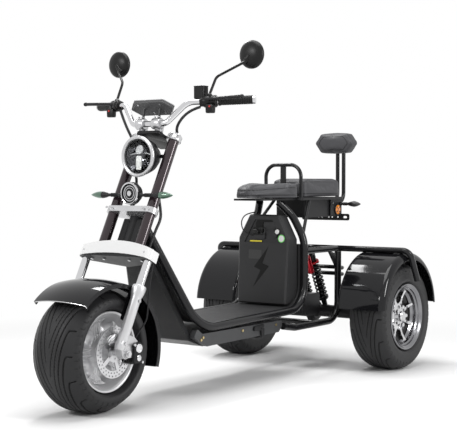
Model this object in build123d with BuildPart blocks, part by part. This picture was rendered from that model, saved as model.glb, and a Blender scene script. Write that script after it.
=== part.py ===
"""Three-wheeled fat-tyre electric scooter.

Millimetres.  +Z is up, the scooter faces -Y and its left side is +X.  The origin is on the
ground, midway along the overall length, on the centre plane.  The steering points straight
ahead.  Everything that steers is drawn on planes square to the steering axis.
"""
import os
from math import cos, radians, sin, tan

from build123d import *

os.makedirs("parts", exist_ok=True)

# ---------------------------------------------------------------- driving dimensions
wheelbase = 1470
front_tyre_r = 216
front_tyre_width = 214
rear_tyre_r = 227
rear_tyre_width = 170
rear_track = 772
rim_r = 142
tyre_wall = 9
fender_r = 250
fender_lift = 25
fender_skirt_z = 272
rake = 27.2
leg_offset = 40
axle_offset = 18
running_gap = 0.1
face_gap = 0.3
rail_diameter = 32
rail_half_width = 150
fork_leg_half_width = 145
fork_tube_half_width = 86

fender_z = rear_tyre_r + fender_lift
tail_overhang = (fender_r**2 - (fender_skirt_z - fender_z) ** 2) ** 0.5
front_axle_y = front_tyre_r - (front_tyre_r + wheelbase + tail_overhang) / 2
rear_axle_y = front_axle_y + wheelbase

# ---------------------------------------------------------------- steering axis
sin_rake = sin(radians(rake))
cos_rake = cos(radians(rake))
steer_dir = Vector(0, sin_rake, cos_rake)
steer_back = Vector(0, cos_rake, -sin_rake)
front_axle = Vector(0, front_axle_y, front_tyre_r)
axis_at_axle = front_axle + steer_back * axle_offset
axle_rise = axis_at_axle.Z / cos_rake
steer_foot = axis_at_axle - steer_dir * axle_rise


def fork_plane(rise):
    """The plane square to the steering axis, `rise` up the axis from the ground."""
    return Plane(origin=steer_foot + steer_dir * rise, x_dir=(1, 0, 0), z_dir=steer_dir)


def fork_point(x, back, rise):
    """A point given across, behind and along the steering axis."""
    return Vector(x, 0, 0) + steer_foot + steer_back * back + steer_dir * rise


def fork_rods(x, back, low, high, diameter):
    """A pair of round bars parallel to the steering axis."""
    with BuildPart() as rods:
        with BuildSketch(fork_plane(low)):
            with Locations((x, back), (-x, back)):
                Circle(diameter / 2)
        extrude(amount=high - low)
    return rods.part


def bent_tube(points, radii, diameter):
    """A round tube along straight runs joined by arcs."""
    with BuildPart() as tube:
        with BuildLine() as path:
            FilletPolyline(*points, radius=radii)
        with BuildSketch(Plane(origin=path.line @ 0, z_dir=path.line % 0)):
            Circle(diameter / 2)
        sweep(path=path.line)
    return tube.part


def straight_rod(start, end, diameter):
    """A round bar from one point to another."""
    start = Vector(*start)
    span = Vector(*end) - start
    with BuildPart() as rod:
        with BuildSketch(Plane(origin=start, z_dir=span)):
            Circle(diameter / 2)
        extrude(amount=span.length)
    return rod.part


def turned(profile, centre):
    """Revolve a closed (x, radius) outline about a wheel's axle."""
    with BuildPart() as body:
        with BuildSketch(Plane(origin=centre, x_dir=(1, 0, 0), z_dir=(0, 1, 0))):
            with BuildLine():
                Polyline(*[(x, -r) for x, r in profile], close=True)
            make_face()
        revolve(axis=Axis(centre, (1, 0, 0)))
    return body.part


def both_sides(solid):
    """A piece and its mirror image on the other side of the scooter."""
    with BuildPart() as pair:
        add(solid)
        mirror(about=Plane.YZ)
    return pair.part


def save(name, part):
    """Label a finished piece and write it under its own name."""
    part.label = name
    export_step(part, f"parts/{name}.step")


# ---------------------------------------------------------------- tyres
bead_half_width = 72
bead_r = 124


def tyre(centre, radius, width, shoulder_drop, crown_share):
    """A low, wide tyre: a rounded carcass one wall thick, open at the bead."""
    half = width / 2
    bead = bead_half_width
    wall = tyre_wall
    side = [
        (bead, bead_r, 2),
        (bead, rim_r + face_gap, 6),
        (half, rim_r + 12, 10),
        (half, radius - shoulder_drop, 26),
        (half * crown_share, radius, 60),
    ]
    inside = [
        (half * crown_share - 3, radius - wall, 50),
        (half - wall, radius - shoulder_drop - 4, 18),
        (half - wall, rim_r + 15, 6),
        (bead - wall, rim_r, 6),
        (bead - wall, bead_r, 2),
    ]
    mirrored = [(-x, r, bend) for x, r, bend in side[::-1]]
    mirrored_inside = [(-x, r, bend) for x, r, bend in inside[::-1]]
    outline = side + mirrored + mirrored_inside + inside
    bends = [bend for _, _, bend in outline]
    with BuildPart() as body:
        with BuildSketch(Plane(origin=centre, x_dir=(1, 0, 0), z_dir=(0, 1, 0))):
            with BuildLine():
                FilletPolyline(*[(x, -r) for x, r, _ in outline], radius=bends, close=True)
            make_face()
        revolve(axis=Axis(centre, (1, 0, 0)))
    return body.part


rear_wheel_x = rear_track / 2
left_axle = Vector(rear_wheel_x, rear_axle_y, rear_tyre_r)
right_axle = Vector(-rear_wheel_x, rear_axle_y, rear_tyre_r)

save("front_tyre", tyre(front_axle, front_tyre_r, front_tyre_width, 36, 0.48))
save("rear_left_tyre", tyre(left_axle, rear_tyre_r, rear_tyre_width, 18, 0.56))
save("rear_right_tyre", tyre(right_axle, rear_tyre_r, rear_tyre_width, 18, 0.56))

# ---------------------------------------------------------------- front wheel
barrel_r = bead_r - face_gap
axle_diameter = 15
hub_half_length = 66
hub_r = 30
spoke_x = 34
spoke_thickness = 10
front_spokes = 7
disc_x = 104
disc_thickness = 4
disc_r = 89


def barrel_outline(half, flange_r):
    """The outline of a rim's barrel: two flanges, two bead seats and a dropped centre."""
    seat = half - 5
    return [
        (-half, flange_r), (-half - 6, flange_r - 3), (-half - 6, flange_r - 8), (-half, barrel_r - 6),
        (-half + 26, barrel_r - 8), (-half + 36, barrel_r - 20), (half - 36, barrel_r - 20),
        (half - 26, barrel_r - 8), (half, barrel_r - 6), (half + 6, flange_r - 8), (half + 6, flange_r - 3),
        (half, flange_r), (seat, flange_r - 6), (seat, barrel_r), (half - 30, barrel_r),
        (half - 40, barrel_r - 12), (40 - half, barrel_r - 12), (30 - half, barrel_r), (-seat, barrel_r),
        (-seat, flange_r - 6),
    ]


rim_half = bead_half_width + face_gap + 5
front_barrel = turned(barrel_outline(rim_half, rim_r), front_axle)
spoke_plane = Plane(origin=front_axle + Vector(spoke_x, 0, 0), x_dir=(0, 1, 0), z_dir=(1, 0, 0))
with BuildPart() as front_rim:
    add(front_barrel)
    with BuildSketch(spoke_plane):
        Circle(barrel_r - 14)
        with PolarLocations(72, front_spokes):
            Circle(21, mode=Mode.SUBTRACT)
    extrude(amount=spoke_thickness / 2, both=True)
    with BuildSketch(spoke_plane.offset(-spoke_x - hub_half_length)):
        Circle(hub_r)
    extrude(amount=2 * hub_half_length)
    with BuildSketch(spoke_plane.offset(hub_half_length - spoke_x)):
        Circle(hub_r - 6)
    extrude(amount=disc_x - disc_thickness / 2 - face_gap - hub_half_length)
    with Locations(spoke_plane):
        Hole(axle_diameter / 2 + running_gap)
save("front_rim", front_rim.part)

with BuildPart() as brake_disc:
    with BuildSketch(Plane(origin=front_axle + Vector(disc_x, 0, 0), x_dir=(0, 1, 0), z_dir=(1, 0, 0))):
        Circle(disc_r)
        Circle(disc_r - 26, mode=Mode.SUBTRACT)
        Circle(34)
        with PolarLocations(48, 5):
            Rectangle(38, 15)
        with PolarLocations(disc_r - 7, 30):
            Circle(3, mode=Mode.SUBTRACT)
        with PolarLocations(disc_r - 18, 30, start_angle=6):
            Circle(3, mode=Mode.SUBTRACT)
        Circle(axle_diameter / 2 + 4, mode=Mode.SUBTRACT)
    extrude(amount=disc_thickness / 2, both=True)
save("brake_disc", brake_disc.part)

# ---------------------------------------------------------------- rear wheels
rear_face_x = 44
half_shaft_r = 14
housing_half_length = 262
shaft_depth = 60


def rear_rim(side):
    """A deep chromed rim with eight windows, its hub, lug nuts and half shaft."""
    centre = Vector(side * rear_wheel_x, rear_axle_y, rear_tyre_r)
    face = Plane(origin=centre + Vector(side * rear_face_x, 0, 0), x_dir=(0, 1, 0), z_dir=(side, 0, 0))
    barrel = turned(barrel_outline(rim_half, rim_r), centre)
    with BuildPart() as rim:
        add(barrel)
        with BuildSketch(face):
            Circle(barrel_r - 4)
            Circle(56, mode=Mode.SUBTRACT)
            with PolarLocations(88, 8):
                Trapezoid(40, 38, 80, rotation=90, mode=Mode.SUBTRACT)
        extrude(amount=9, both=True)
        with BuildSketch(face.offset(-9)):
            Circle(58)
        extrude(amount=-16)
        with BuildSketch(face.offset(-26)):
            Circle(62)
        extrude(amount=10, taper=12)
        with BuildSketch(face.offset(-16)):
            Circle(24)
        extrude(amount=14)
        with BuildSketch(face.offset(-16)):
            with PolarLocations(40, 5):
                RegularPolygon(9, 6)
        extrude(amount=12)
        with BuildSketch(face.offset(-26)):
            Circle(34)
        extrude(amount=-(rear_wheel_x + rear_face_x - 26 - housing_half_length - 1))
        with BuildSketch(face.offset(-26)):
            Circle(half_shaft_r)
        extrude(amount=-(rear_wheel_x + rear_face_x - 26 - housing_half_length + shaft_depth - 2))
    return rim.part


save("rear_left_rim", rear_rim(1))
save("rear_right_rim", rear_rim(-1))

# ---------------------------------------------------------------- rear axle and motor
housing_r = 27
differential_r = 54
differential_half_length = 22
shock_half_width = 38
shock_low = (shock_half_width, rear_axle_y + 42, rear_tyre_r + 9)
with BuildPart() as rear_axle:
    with BuildSketch(Plane(origin=(0, rear_axle_y, rear_tyre_r), x_dir=(0, 1, 0), z_dir=(1, 0, 0))):
        Circle(housing_r)
    extrude(amount=housing_half_length, both=True)
    for side in (1, -1):
        end = Plane(
            origin=(side * housing_half_length, rear_axle_y, rear_tyre_r),
            x_dir=(0, 1, 0),
            z_dir=(side, 0, 0),
        )
        with BuildSketch(end):
            Circle(44)
        extrude(amount=-12)
        with BuildSketch(end):
            Circle(half_shaft_r + running_gap)
        extrude(amount=-shaft_depth, mode=Mode.SUBTRACT)
    with BuildSketch(Plane(origin=(0, rear_axle_y, rear_tyre_r), x_dir=(0, 1, 0), z_dir=(1, 0, 0))):
        Circle(differential_r)
    extrude(amount=differential_half_length, both=True)
    rims = rear_axle.edges().filter_by(GeomType.CIRCLE)
    chamfer(rims.filter_by(lambda edge: abs(edge.radius - differential_r) < 1), 14)
    for side in (1, -1):
        ear = Plane(origin=(side * shock_half_width - 17, 0, 0), x_dir=(0, 1, 0), z_dir=(1, 0, 0))
        for inset in (0, 28):
            with BuildSketch(ear.offset(inset)):
                with BuildLine():
                    Polyline(
                        (rear_axle_y, rear_tyre_r + housing_r - 2),
                        (shock_low[1] + 4, shock_low[2] + 14),
                        (shock_low[1] + 14, shock_low[2] - 4),
                        (rear_axle_y + 6, rear_tyre_r - housing_r + 4),
                        close=True,
                    )
                make_face()
            extrude(amount=6)
        with BuildSketch(Plane(origin=(side * shock_half_width - 17, *shock_low[1:]), z_dir=(1, 0, 0))):
            Circle(5)
        extrude(amount=34)
save("rear_axle", rear_axle.part)

motor_length = 124
with BuildPart() as motor_block:
    with BuildSketch(Plane.YZ.offset(-64)):
        with Locations((rear_axle_y - differential_r - face_gap - motor_length / 2, rear_tyre_r + 38)):
            RectangleRounded(motor_length, 96, 14)
    extrude(amount=128)
save("motor_block", motor_block.part)

# ---------------------------------------------------------------- main frame rails
slope_back = sin_rake / cos_rake
deck_rail_z = 256
deck_rise = 16
slope_foot_y = front_axle_y + 424
hoop_y = 400
hoop_shoulder_z = 560
arch_half_width = 88
arch_z = 664
seat_rail_y = 357
seat_rail_z = 718
seat_rail_half_width = 48
neck_half_width = 50
neck_rail_z = 632
neck_rail_y = slope_foot_y - (neck_rail_z - deck_rail_z) * 0.487
rail_points = [
    (neck_half_width, neck_rail_y, neck_rail_z),
    (rail_half_width, slope_foot_y, deck_rail_z),
    (rail_half_width, hoop_y, deck_rail_z + deck_rise),
    (rail_half_width, hoop_y, hoop_shoulder_z),
    (arch_half_width, hoop_y, arch_z),
    (seat_rail_half_width, seat_rail_y, seat_rail_z),
]
rail_radii = [150, 110, 150, 110]
left_rail = bent_tube(rail_points, rail_radii, rail_diameter)
save("frame_rails", both_sides(left_rail))

# ---------------------------------------------------------------- steering head
stem_diameter = 30
bridge_low = 572
bridge_high = 600
yoke_low = 750
yoke_high = 772
crown_low = 1046
crown_high = 1072
head_r = 29
with BuildPart() as steering_head:
    with BuildSketch(fork_plane(bridge_high + face_gap)):
        Circle(head_r)
    extrude(amount=yoke_low - bridge_high - 2 * face_gap)
    with BuildSketch(Plane.YZ.offset(-44)):
        with BuildLine():
            spots = ((-22, 640), (-22, 742), (32, 742), (64, 640))
            corners = [fork_point(0, back, rise) for back, rise in spots]
            Polyline(*[(corner.Y, corner.Z) for corner in corners], close=True)
        make_face()
    extrude(amount=88)
    fillet(steering_head.edges().filter_by(Axis.X), 6)
    with BuildSketch(fork_plane(bridge_high)):
        Circle(stem_diameter / 2 + running_gap)
    extrude(amount=yoke_low - bridge_high, mode=Mode.SUBTRACT)
    add(both_sides(left_rail), mode=Mode.SUBTRACT)
save("steering_head", steering_head.part)

# ---------------------------------------------------------------- footboard
sheet = 3
sheet_half_width = rail_half_width - rail_diameter / 2 + 6
board_lift = 11
with BuildPart() as footboard:
    with BuildSketch(Plane.YZ):
        with BuildLine():
            FilletPolyline(
                (neck_rail_y + 14, neck_rail_z - 14),
                (slope_foot_y + 6, deck_rail_z + board_lift),
                (hoop_y - 8, deck_rail_z + deck_rise + board_lift),
                (hoop_y - 8, hoop_shoulder_z - 20),
                radius=[138, 96],
            )
        trace(line_width=sheet)
    extrude(amount=sheet_half_width, both=True)
    with BuildSketch(Plane.XZ.offset(-slope_foot_y - 40)):
        with BuildLine():
            Polyline(
                (rail_half_width - 8, deck_rail_z + 30),
                (neck_half_width - 8, neck_rail_z + 20),
                (rail_half_width + 60, neck_rail_z + 20),
                close=True,
            )
        make_face()
    extrude(amount=400, mode=Mode.SUBTRACT)
    with BuildSketch(Plane.XZ.offset(-slope_foot_y - 40)):
        with BuildLine():
            Polyline(
                (8 - rail_half_width, deck_rail_z + 30),
                (8 - neck_half_width, neck_rail_z + 20),
                (-rail_half_width - 60, neck_rail_z + 20),
                close=True,
            )
        make_face()
    extrude(amount=400, mode=Mode.SUBTRACT)
    add(both_sides(left_rail), mode=Mode.SUBTRACT)
    add(steering_head.part, mode=Mode.SUBTRACT)
save("footboard", footboard.part)

# ---------------------------------------------------------------- body: front cowl and side beams
belly_z = 184
cowl_top_half = 56
cowl_foot_half = 122
cowl_top = (front_axle_y + 248, 514)
cowl_foot = (front_axle_y + 394, 214)
beam_rear_y = 236
beam_top_z = deck_rail_z - rail_diameter / 2 - 4
with BuildPart() as front_cowl:
    with BuildSketch(Plane.YZ.offset(-cowl_foot_half)):
        with BuildLine():
            FilletPolyline(
                cowl_top,
                cowl_foot,
                (front_axle_y + 480, belly_z),
                (beam_rear_y - 12, belly_z),
                (beam_rear_y - 12, beam_top_z),
                (slope_foot_y - 16, beam_top_z),
                (cowl_top[0] + 20, cowl_top[1] + 12),
                radius=[4, 12, 12, 12, 12, 12, 4],
                close=True,
            )
        make_face()
    extrude(amount=2 * cowl_foot_half)
    for side in (1, -1):
        with BuildSketch(Plane.XZ.offset(-cowl_foot[0] - 160)):
            with BuildLine():
                Polyline(
                    (side * cowl_foot_half, cowl_foot[1]),
                    (side * cowl_top_half, cowl_top[1]),
                    (side * cowl_top_half, cowl_top[1] + 40),
                    (side * 200, cowl_top[1] + 40),
                    (side * 200, cowl_foot[1]),
                    close=True,
                )
            make_face()
        extrude(amount=400, mode=Mode.SUBTRACT)
save("front_cowl", front_cowl.part)

beam_width = 24
with BuildPart() as left_beam:
    with BuildSketch(Plane.YZ.offset(cowl_foot_half + face_gap)):
        with BuildLine():
            Polyline(
                (cowl_foot[0] + 4, cowl_foot[1] + 14),
                (front_axle_y + 476, belly_z + 2),
                (beam_rear_y - 24, belly_z + 6),
                (beam_rear_y, belly_z + 28),
                (beam_rear_y, beam_top_z),
                (slope_foot_y + 24, beam_top_z),
                (slope_foot_y - 6, beam_top_z + 22),
                close=True,
            )
        make_face()
        fillet(vertices(), 8)
    extrude(amount=beam_width)
    add(left_rail, mode=Mode.SUBTRACT)
save("side_beams", both_sides(left_beam.part))

# ---------------------------------------------------------------- battery
battery_front_y = 295
battery_lean = 3.4
battery_floor_z = deck_rail_z + deck_rise + board_lift + sheet / 2 + 4
battery_height = 378
battery_foot_half = 122
battery_shoulder_half = 127
battery_top_half = 74
battery_depth = 90
battery_back_y = hoop_y - 22
battery_plane = Plane(
    origin=(0, battery_front_y, battery_floor_z),
    x_dir=(1, 0, 0),
    z_dir=(0, -cos(radians(battery_lean)), sin(radians(battery_lean))),
)
battery_outline = [
    (-battery_foot_half, 0),
    (battery_foot_half, 0),
    (battery_shoulder_half, battery_height - 100),
    (battery_top_half, battery_height),
    (-battery_top_half, battery_height),
    (-battery_shoulder_half, battery_height - 100),
]
with BuildPart() as battery_box:
    with BuildSketch(battery_plane):
        with BuildLine():
            Polyline(*battery_outline, close=True)
        make_face()
        fillet(vertices(), 10)
    extrude(amount=-battery_depth)
    chamfer(battery_box.faces().sort_by(Axis.Y)[0].edges(), 7)
    with BuildSketch(Plane.YZ):
        with BuildLine():
            FilletPolyline(
                (battery_front_y - 60, battery_floor_z),
                (battery_back_y, battery_floor_z),
                (battery_back_y, battery_floor_z + battery_height + 40),
                radius=90,
            )
            Polyline(
                (battery_back_y, battery_floor_z + battery_height + 40),
                (battery_front_y - 60, battery_floor_z + battery_height + 40),
                (battery_front_y - 60, battery_floor_z),
            )
        make_face()
    extrude(amount=200, both=True, mode=Mode.INTERSECT)
    with BuildSketch(battery_plane):
        with Locations((0, battery_height - 70)):
            Trapezoid(190, 96, 62)
    extrude(amount=-4, mode=Mode.SUBTRACT)
    with BuildSketch(battery_plane.offset(-4)):
        with Locations((14, battery_height - 46)):
            RectangleRounded(92, 28, 6)
    extrude(amount=-26, mode=Mode.SUBTRACT)
    with BuildSketch(battery_plane.offset(-4)):
        with Locations((-18, battery_height - 90)):
            RectangleRounded(56, 28, 5)
    extrude(amount=6)
    with BuildSketch(battery_plane.offset(-4)):
        with Locations((58, battery_height - 86)):
            Circle(12)
    extrude(amount=6)
save("battery_box", battery_box.part)

# ---------------------------------------------------------------- seats and their frame
seat_floor_z = 733
rider_seat_nose_y = 156
rider_seat_length = 276
rider_seat_half = 122
rider_seat_height = 66
pan_top_z = 736
pan_thickness = 12
pan_half_width = 98
pan_front_y = 456
pan_rear_y = 820
seat_plate_y = 190
with BuildPart() as rider_seat:
    with BuildSketch(Plane.XY.offset(seat_floor_z + face_gap)):
        with Locations((0, rider_seat_nose_y + 30)):
            RectangleRounded(100, 60, 24)
        with Locations((0, rider_seat_nose_y + rider_seat_length - 66)):
            RectangleRounded(2 * rider_seat_half, 132, 56)
        make_hull()
    extrude(amount=rider_seat_height)
    fillet(rider_seat.faces().sort_by(Axis.Z)[-1].edges(), 20)
save("rider_seat", rider_seat.part)

passenger_seat_y = (502, 810)
passenger_seat_half = 90
passenger_seat_height = 78
with BuildPart() as passenger_seat:
    with BuildSketch(Plane.XY.offset(pan_top_z + face_gap)):
        with Locations((0, sum(passenger_seat_y) / 2)):
            RectangleRounded(2 * passenger_seat_half, passenger_seat_y[1] - passenger_seat_y[0], 24)
    extrude(amount=passenger_seat_height)
    fillet(passenger_seat.faces().sort_by(Axis.Z)[-1].edges(), 16)
save("passenger_seat", passenger_seat.part)

strut_top = (pan_half_width - 8, 534, pan_top_z - pan_thickness)
strut_foot = (rail_half_width - 18, hoop_y + 20, hoop_shoulder_z + 28)
left_strut = straight_rod(strut_top, strut_foot, 14)
with BuildPart() as seat_frame:
    with BuildSketch(Plane.XY.offset(pan_top_z - pan_thickness)):
        with Locations((0, (pan_front_y + pan_rear_y) / 2)):
            RectangleRounded(2 * pan_half_width, pan_rear_y - pan_front_y, 20)
    extrude(amount=pan_thickness)
    with BuildSketch(Plane.XY.offset(seat_floor_z - 8)):
        with Locations((0, seat_plate_y + 150)):
            RectangleRounded(140, 300, 12)
    extrude(amount=8)
    add(both_sides(left_strut))
    add(both_sides(left_rail), mode=Mode.SUBTRACT)
save("seat_frame", seat_frame.part)

hoop_half_width = 90
hoop_tube = 16
hoop_top_z = 876
grab_hoop_y = 467
with BuildPart() as grab_hoop:
    add(
        bent_tube(
            [
                (hoop_half_width, grab_hoop_y, pan_top_z + face_gap),
                (hoop_half_width, grab_hoop_y, hoop_top_z),
                (-hoop_half_width, grab_hoop_y, hoop_top_z),
                (-hoop_half_width, grab_hoop_y, pan_top_z + face_gap),
            ],
            [52, 52],
            hoop_tube,
        )
    )
    with BuildSketch(Plane.XY.offset(pan_top_z + face_gap)):
        with Locations((0, grab_hoop_y)):
            Rectangle(26, 6)
    extrude(amount=hoop_top_z - pan_top_z - 4)
save("grab_hoop", grab_hoop.part)

# ---------------------------------------------------------------- box and brackets under the rear seat
box_floor_z = 648
box_front_y = 522
box_rear_y = 798
with BuildPart() as under_seat_box:
    box_top = pan_top_z - pan_thickness - face_gap
    with BuildSketch(Plane.XY.offset(box_floor_z)):
        with Locations((0, (box_front_y + box_rear_y) / 2)):
            RectangleRounded(156, box_rear_y - box_front_y, 14)
    extrude(amount=box_top - box_floor_z)
    for side in (1, -1):
        with BuildSketch(Plane.YZ.offset(side * 84 - 2)):
            with Locations((box_rear_y - 30, (box_floor_z + box_top) / 2 + 2)):
                RectangleRounded(96, box_top - box_floor_z - 4, 8)
        extrude(amount=4)
        with BuildSketch(Plane.YZ.offset(side * 80 - 4)):
            with Locations((box_rear_y - 55, 700)):
                Rectangle(30, 30)
        extrude(amount=8)
    with BuildSketch(Plane.XZ.offset(-(box_rear_y + 22))):
        with Locations((0, box_floor_z - 4)):
            RectangleRounded(250, 30, 8)
        with Locations((-104, box_floor_z - 4), (104, box_floor_z - 4)):
            SlotOverall(20, 10, mode=Mode.SUBTRACT)
        with Locations(*[(x, box_floor_z - 4) for x in (-66, -36, -18, 18, 36, 66)]):
            Circle(4, mode=Mode.SUBTRACT)
    extrude(amount=4)
    with BuildSketch(Plane.YZ.offset(-40)):
        with Locations((box_rear_y + 10, box_floor_z + 6)):
            Rectangle(24, 10)
    extrude(amount=80)
save("under_seat_box", under_seat_box.part)

left_signal_y = 804
with BuildPart() as rear_signal:
    with BuildSketch(Plane.YZ.offset(86 + face_gap)):
        with Locations((left_signal_y, 704)):
            Circle(6)
    extrude(amount=46)
    with BuildSketch(Plane(origin=(0, left_signal_y, 704), x_dir=(1, 0, 0), z_dir=(0, -1, 0))):
        with BuildLine():
            Spline((128, 0), (136, 12), (160, 12), (192, 0))
            Line((192, 0), (128, 0))
        make_face()
    revolve(axis=Axis((0, left_signal_y, 704), (1, 0, 0)))
save("rear_turn_signals", both_sides(rear_signal.part))

# ---------------------------------------------------------------- backrest
backrest_y = rear_axle_y + 234
backrest_post_half = 16
backrest_low_z = 934
backrest_high_z = 1028
backrest_half_width = 106
backrest_depth = 56
left_post = bent_tube(
    [
        (backrest_post_half, box_rear_y + face_gap, 706),
        (backrest_post_half, backrest_y, 706),
        (backrest_post_half, backrest_y, backrest_high_z - 30),
    ],
    [48],
    18,
)
with BuildPart() as backrest_posts:
    add(both_sides(left_post))
    with BuildSketch(Plane.XZ.offset(-backrest_y + 9)):
        with Locations((0, backrest_high_z - 52)):
            Rectangle(120, 56)
    extrude(amount=5)
save("backrest_posts", backrest_posts.part)
with BuildPart() as backrest_pad:
    pad_z = (backrest_low_z + backrest_high_z) / 2
    with BuildSketch(Plane.XZ.offset(-(backrest_y - 9 - 5 - face_gap))):
        with BuildLine():
            corner = backrest_half_width - 34
            half = (backrest_high_z - backrest_low_z) / 2
            Polyline(
                (-backrest_half_width, pad_z), (-corner, pad_z - half), (corner, pad_z - half),
                (backrest_half_width, pad_z), (corner, pad_z + half), (-corner, pad_z + half), close=True,
            )
        make_face()
        fillet(vertices(), 14)
    extrude(amount=backrest_depth)
    fillet(backrest_pad.faces().sort_by(Axis.Y)[0].edges(), 12)
save("backrest_pad", backrest_pad.part)

# ---------------------------------------------------------------- rear frame, rack and fenders
frame_tube = 30
rack_tube = 26
fender_wall = 3
fender_inner_x = rear_track / 2 - 118
fender_outer_x = rear_track / 2 + 99
rack_y = rear_axle_y - housing_r - frame_tube / 2 - face_gap
rack_z = fender_z + (fender_r**2 - (rear_axle_y - rack_y) ** 2) ** 0.5 + rack_tube / 2 + face_gap
subframe_half_width = 150
subframe_low_z = 198
rack_half_width = rear_track / 2 + 115

rack_seat_z = rack_z - rack_tube / 2 - face_gap
rack_seat_y = rack_y - rack_tube / 2 - face_gap
left_side_tube = bent_tube(
    [
        (subframe_half_width, beam_rear_y + face_gap, subframe_low_z + 14),
        (subframe_half_width, beam_rear_y + 90, subframe_low_z),
        (subframe_half_width, rack_y, subframe_low_z),
        (subframe_half_width, rack_y, rack_seat_z),
    ],
    [60, 84],
    frame_tube,
)
top_rail = straight_rod(
    (subframe_half_width, hoop_y + rail_diameter / 2 - 6, rack_z),
    (subframe_half_width, rack_seat_y, rack_z),
    rack_tube,
)
cross_tube = rack_tube - 4
shock_bar_y = rack_y - 78
cross_spots = [(shock_bar_y, rack_z), (rack_y - 164, subframe_low_z)]
hoop_levels = (subframe_low_z + 197, subframe_low_z + 225)
rear_hoop_y = rack_y + 66
rear_hoop_tube = 18
with BuildPart() as rear_subframe:
    add(both_sides(left_side_tube))
    add(both_sides(top_rail))
    for y, z in cross_spots:
        with BuildSketch(Plane(origin=(0, y, z), x_dir=(0, 1, 0), z_dir=(1, 0, 0))):
            Circle(cross_tube / 2)
        extrude(amount=subframe_half_width, both=True)
    for side in (1, -1):
        with BuildSketch(Plane.YZ.offset(side * subframe_half_width - 3)):
            with BuildLine():
                Polyline(
                    (rack_y - 8, rack_seat_z - 84),
                    (rack_y - 8, rack_seat_z - 10),
                    (rack_y - 84, rack_z - 8),
                    close=True,
                )
            make_face()
        extrude(amount=6)
    for level in hoop_levels:
        add(
            bent_tube(
                [
                    (subframe_half_width, rack_y, level),
                    (subframe_half_width, rear_hoop_y, level),
                    (-subframe_half_width, rear_hoop_y, level),
                    (-subframe_half_width, rack_y, level),
                ],
                [40, 40],
                rear_hoop_tube,
            )
        )
    add(both_sides(left_rail), mode=Mode.SUBTRACT)
save("rear_subframe", rear_subframe.part)

rack_foot = (rack_half_width, rack_y + 70, rack_z - 128)
with BuildPart() as rear_rack:
    add(
        bent_tube(
            [
                rack_foot,
                (rack_half_width, rack_y, rack_z),
                (-rack_half_width, rack_y, rack_z),
                (-rack_half_width, rack_foot[1], rack_foot[2]),
            ],
            [34, 34],
            rack_tube,
        )
    )
save("rear_rack", rear_rack.part)

with BuildPart() as left_fender:
    centre = Vector(0, rear_axle_y, fender_z)
    with BuildSketch(Plane(origin=centre, x_dir=(1, 0, 0), z_dir=(0, 1, 0))):
        with BuildLine():
            FilletPolyline(
                (fender_inner_x, 14 - fender_r),
                (fender_inner_x, -fender_r + fender_wall / 2),
                (fender_outer_x, -fender_r + fender_wall / 2),
                (fender_outer_x, 30 - fender_r),
                radius=[10, 24],
            )
        trace(line_width=fender_wall)
    revolve(axis=Axis(centre, (1, 0, 0)))
    split(bisect_by=Plane.XY.offset(fender_skirt_z), keep=Keep.TOP)
    with BuildSketch(Plane.XY.offset(rack_seat_z)):
        with Locations((fender_inner_x + 40, rack_y), (fender_outer_x - 44, rack_y)):
            RectangleRounded(30, 26, 4)
    extrude(amount=-6)
save("rear_fenders", both_sides(left_fender.part))

# ---------------------------------------------------------------- rear shock absorbers
shock_eye_r = 14
shock_high = (shock_half_width, shock_bar_y + cross_tube / 2 + shock_eye_r + face_gap, rack_z)
shock_low_point = Vector(*shock_low)
shock_span = Vector(*shock_high) - shock_low_point
shock_plane = Plane(origin=shock_low, x_dir=(1, 0, 0), z_dir=shock_span)
shock_length = shock_span.length
spring_low = 62
spring_high = shock_length - 74
coils = 9
with BuildPart() as left_shock:
    for spot in (shock_low, shock_high):
        with BuildSketch(Plane(origin=spot, x_dir=(0, 1, 0), z_dir=(1, 0, 0))):
            Circle(shock_eye_r)
            Circle(5 + running_gap, mode=Mode.SUBTRACT)
        extrude(amount=10, both=True)
    with BuildSketch(shock_plane.offset(12)):
        Circle(9)
    extrude(amount=shock_length - 24)
    with BuildSketch(shock_plane.offset(26)):
        Circle(15)
    extrude(amount=shock_length - 52)
    with BuildSketch(shock_plane.offset(spring_low - 10)):
        Circle(24)
    extrude(amount=10)
    with BuildSketch(shock_plane.offset(spring_high)):
        Circle(24)
    extrude(amount=14)
    for turn in range(coils):
        height = spring_low + (turn + 0.5) * (spring_high - spring_low) / coils
        with BuildSketch(shock_plane.offset(height - 4)):
            Circle(21)
        extrude(amount=8)
save("shock_absorbers", both_sides(left_shock.part))

reservoir_r = 15
with BuildPart() as left_reservoir:
    with BuildSketch(shock_plane.offset(shock_length - 104)):
        with Locations((0, -24 - reservoir_r - face_gap)):
            Circle(reservoir_r)
    extrude(amount=84)
    fillet(left_reservoir.edges(), 4)
save("shock_reservoirs", both_sides(left_reservoir.part))

# ---------------------------------------------------------------- fork legs
leg_back = -leg_offset
slider_diameter = 38
slider_low = 212
slider_high = 474
cup_diameter = 46
cup_height = 37
lower_tube_diameter = 30
upper_tube_diameter = 40
bore_floor = 440
lug_half_width = slider_diameter / 2
disc_gap = 6
bracket_x = fork_leg_half_width - slider_diameter / 2 - 1.7
caliper_y = front_axle_y + 84
caliper_z = front_tyre_r - 8


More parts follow.
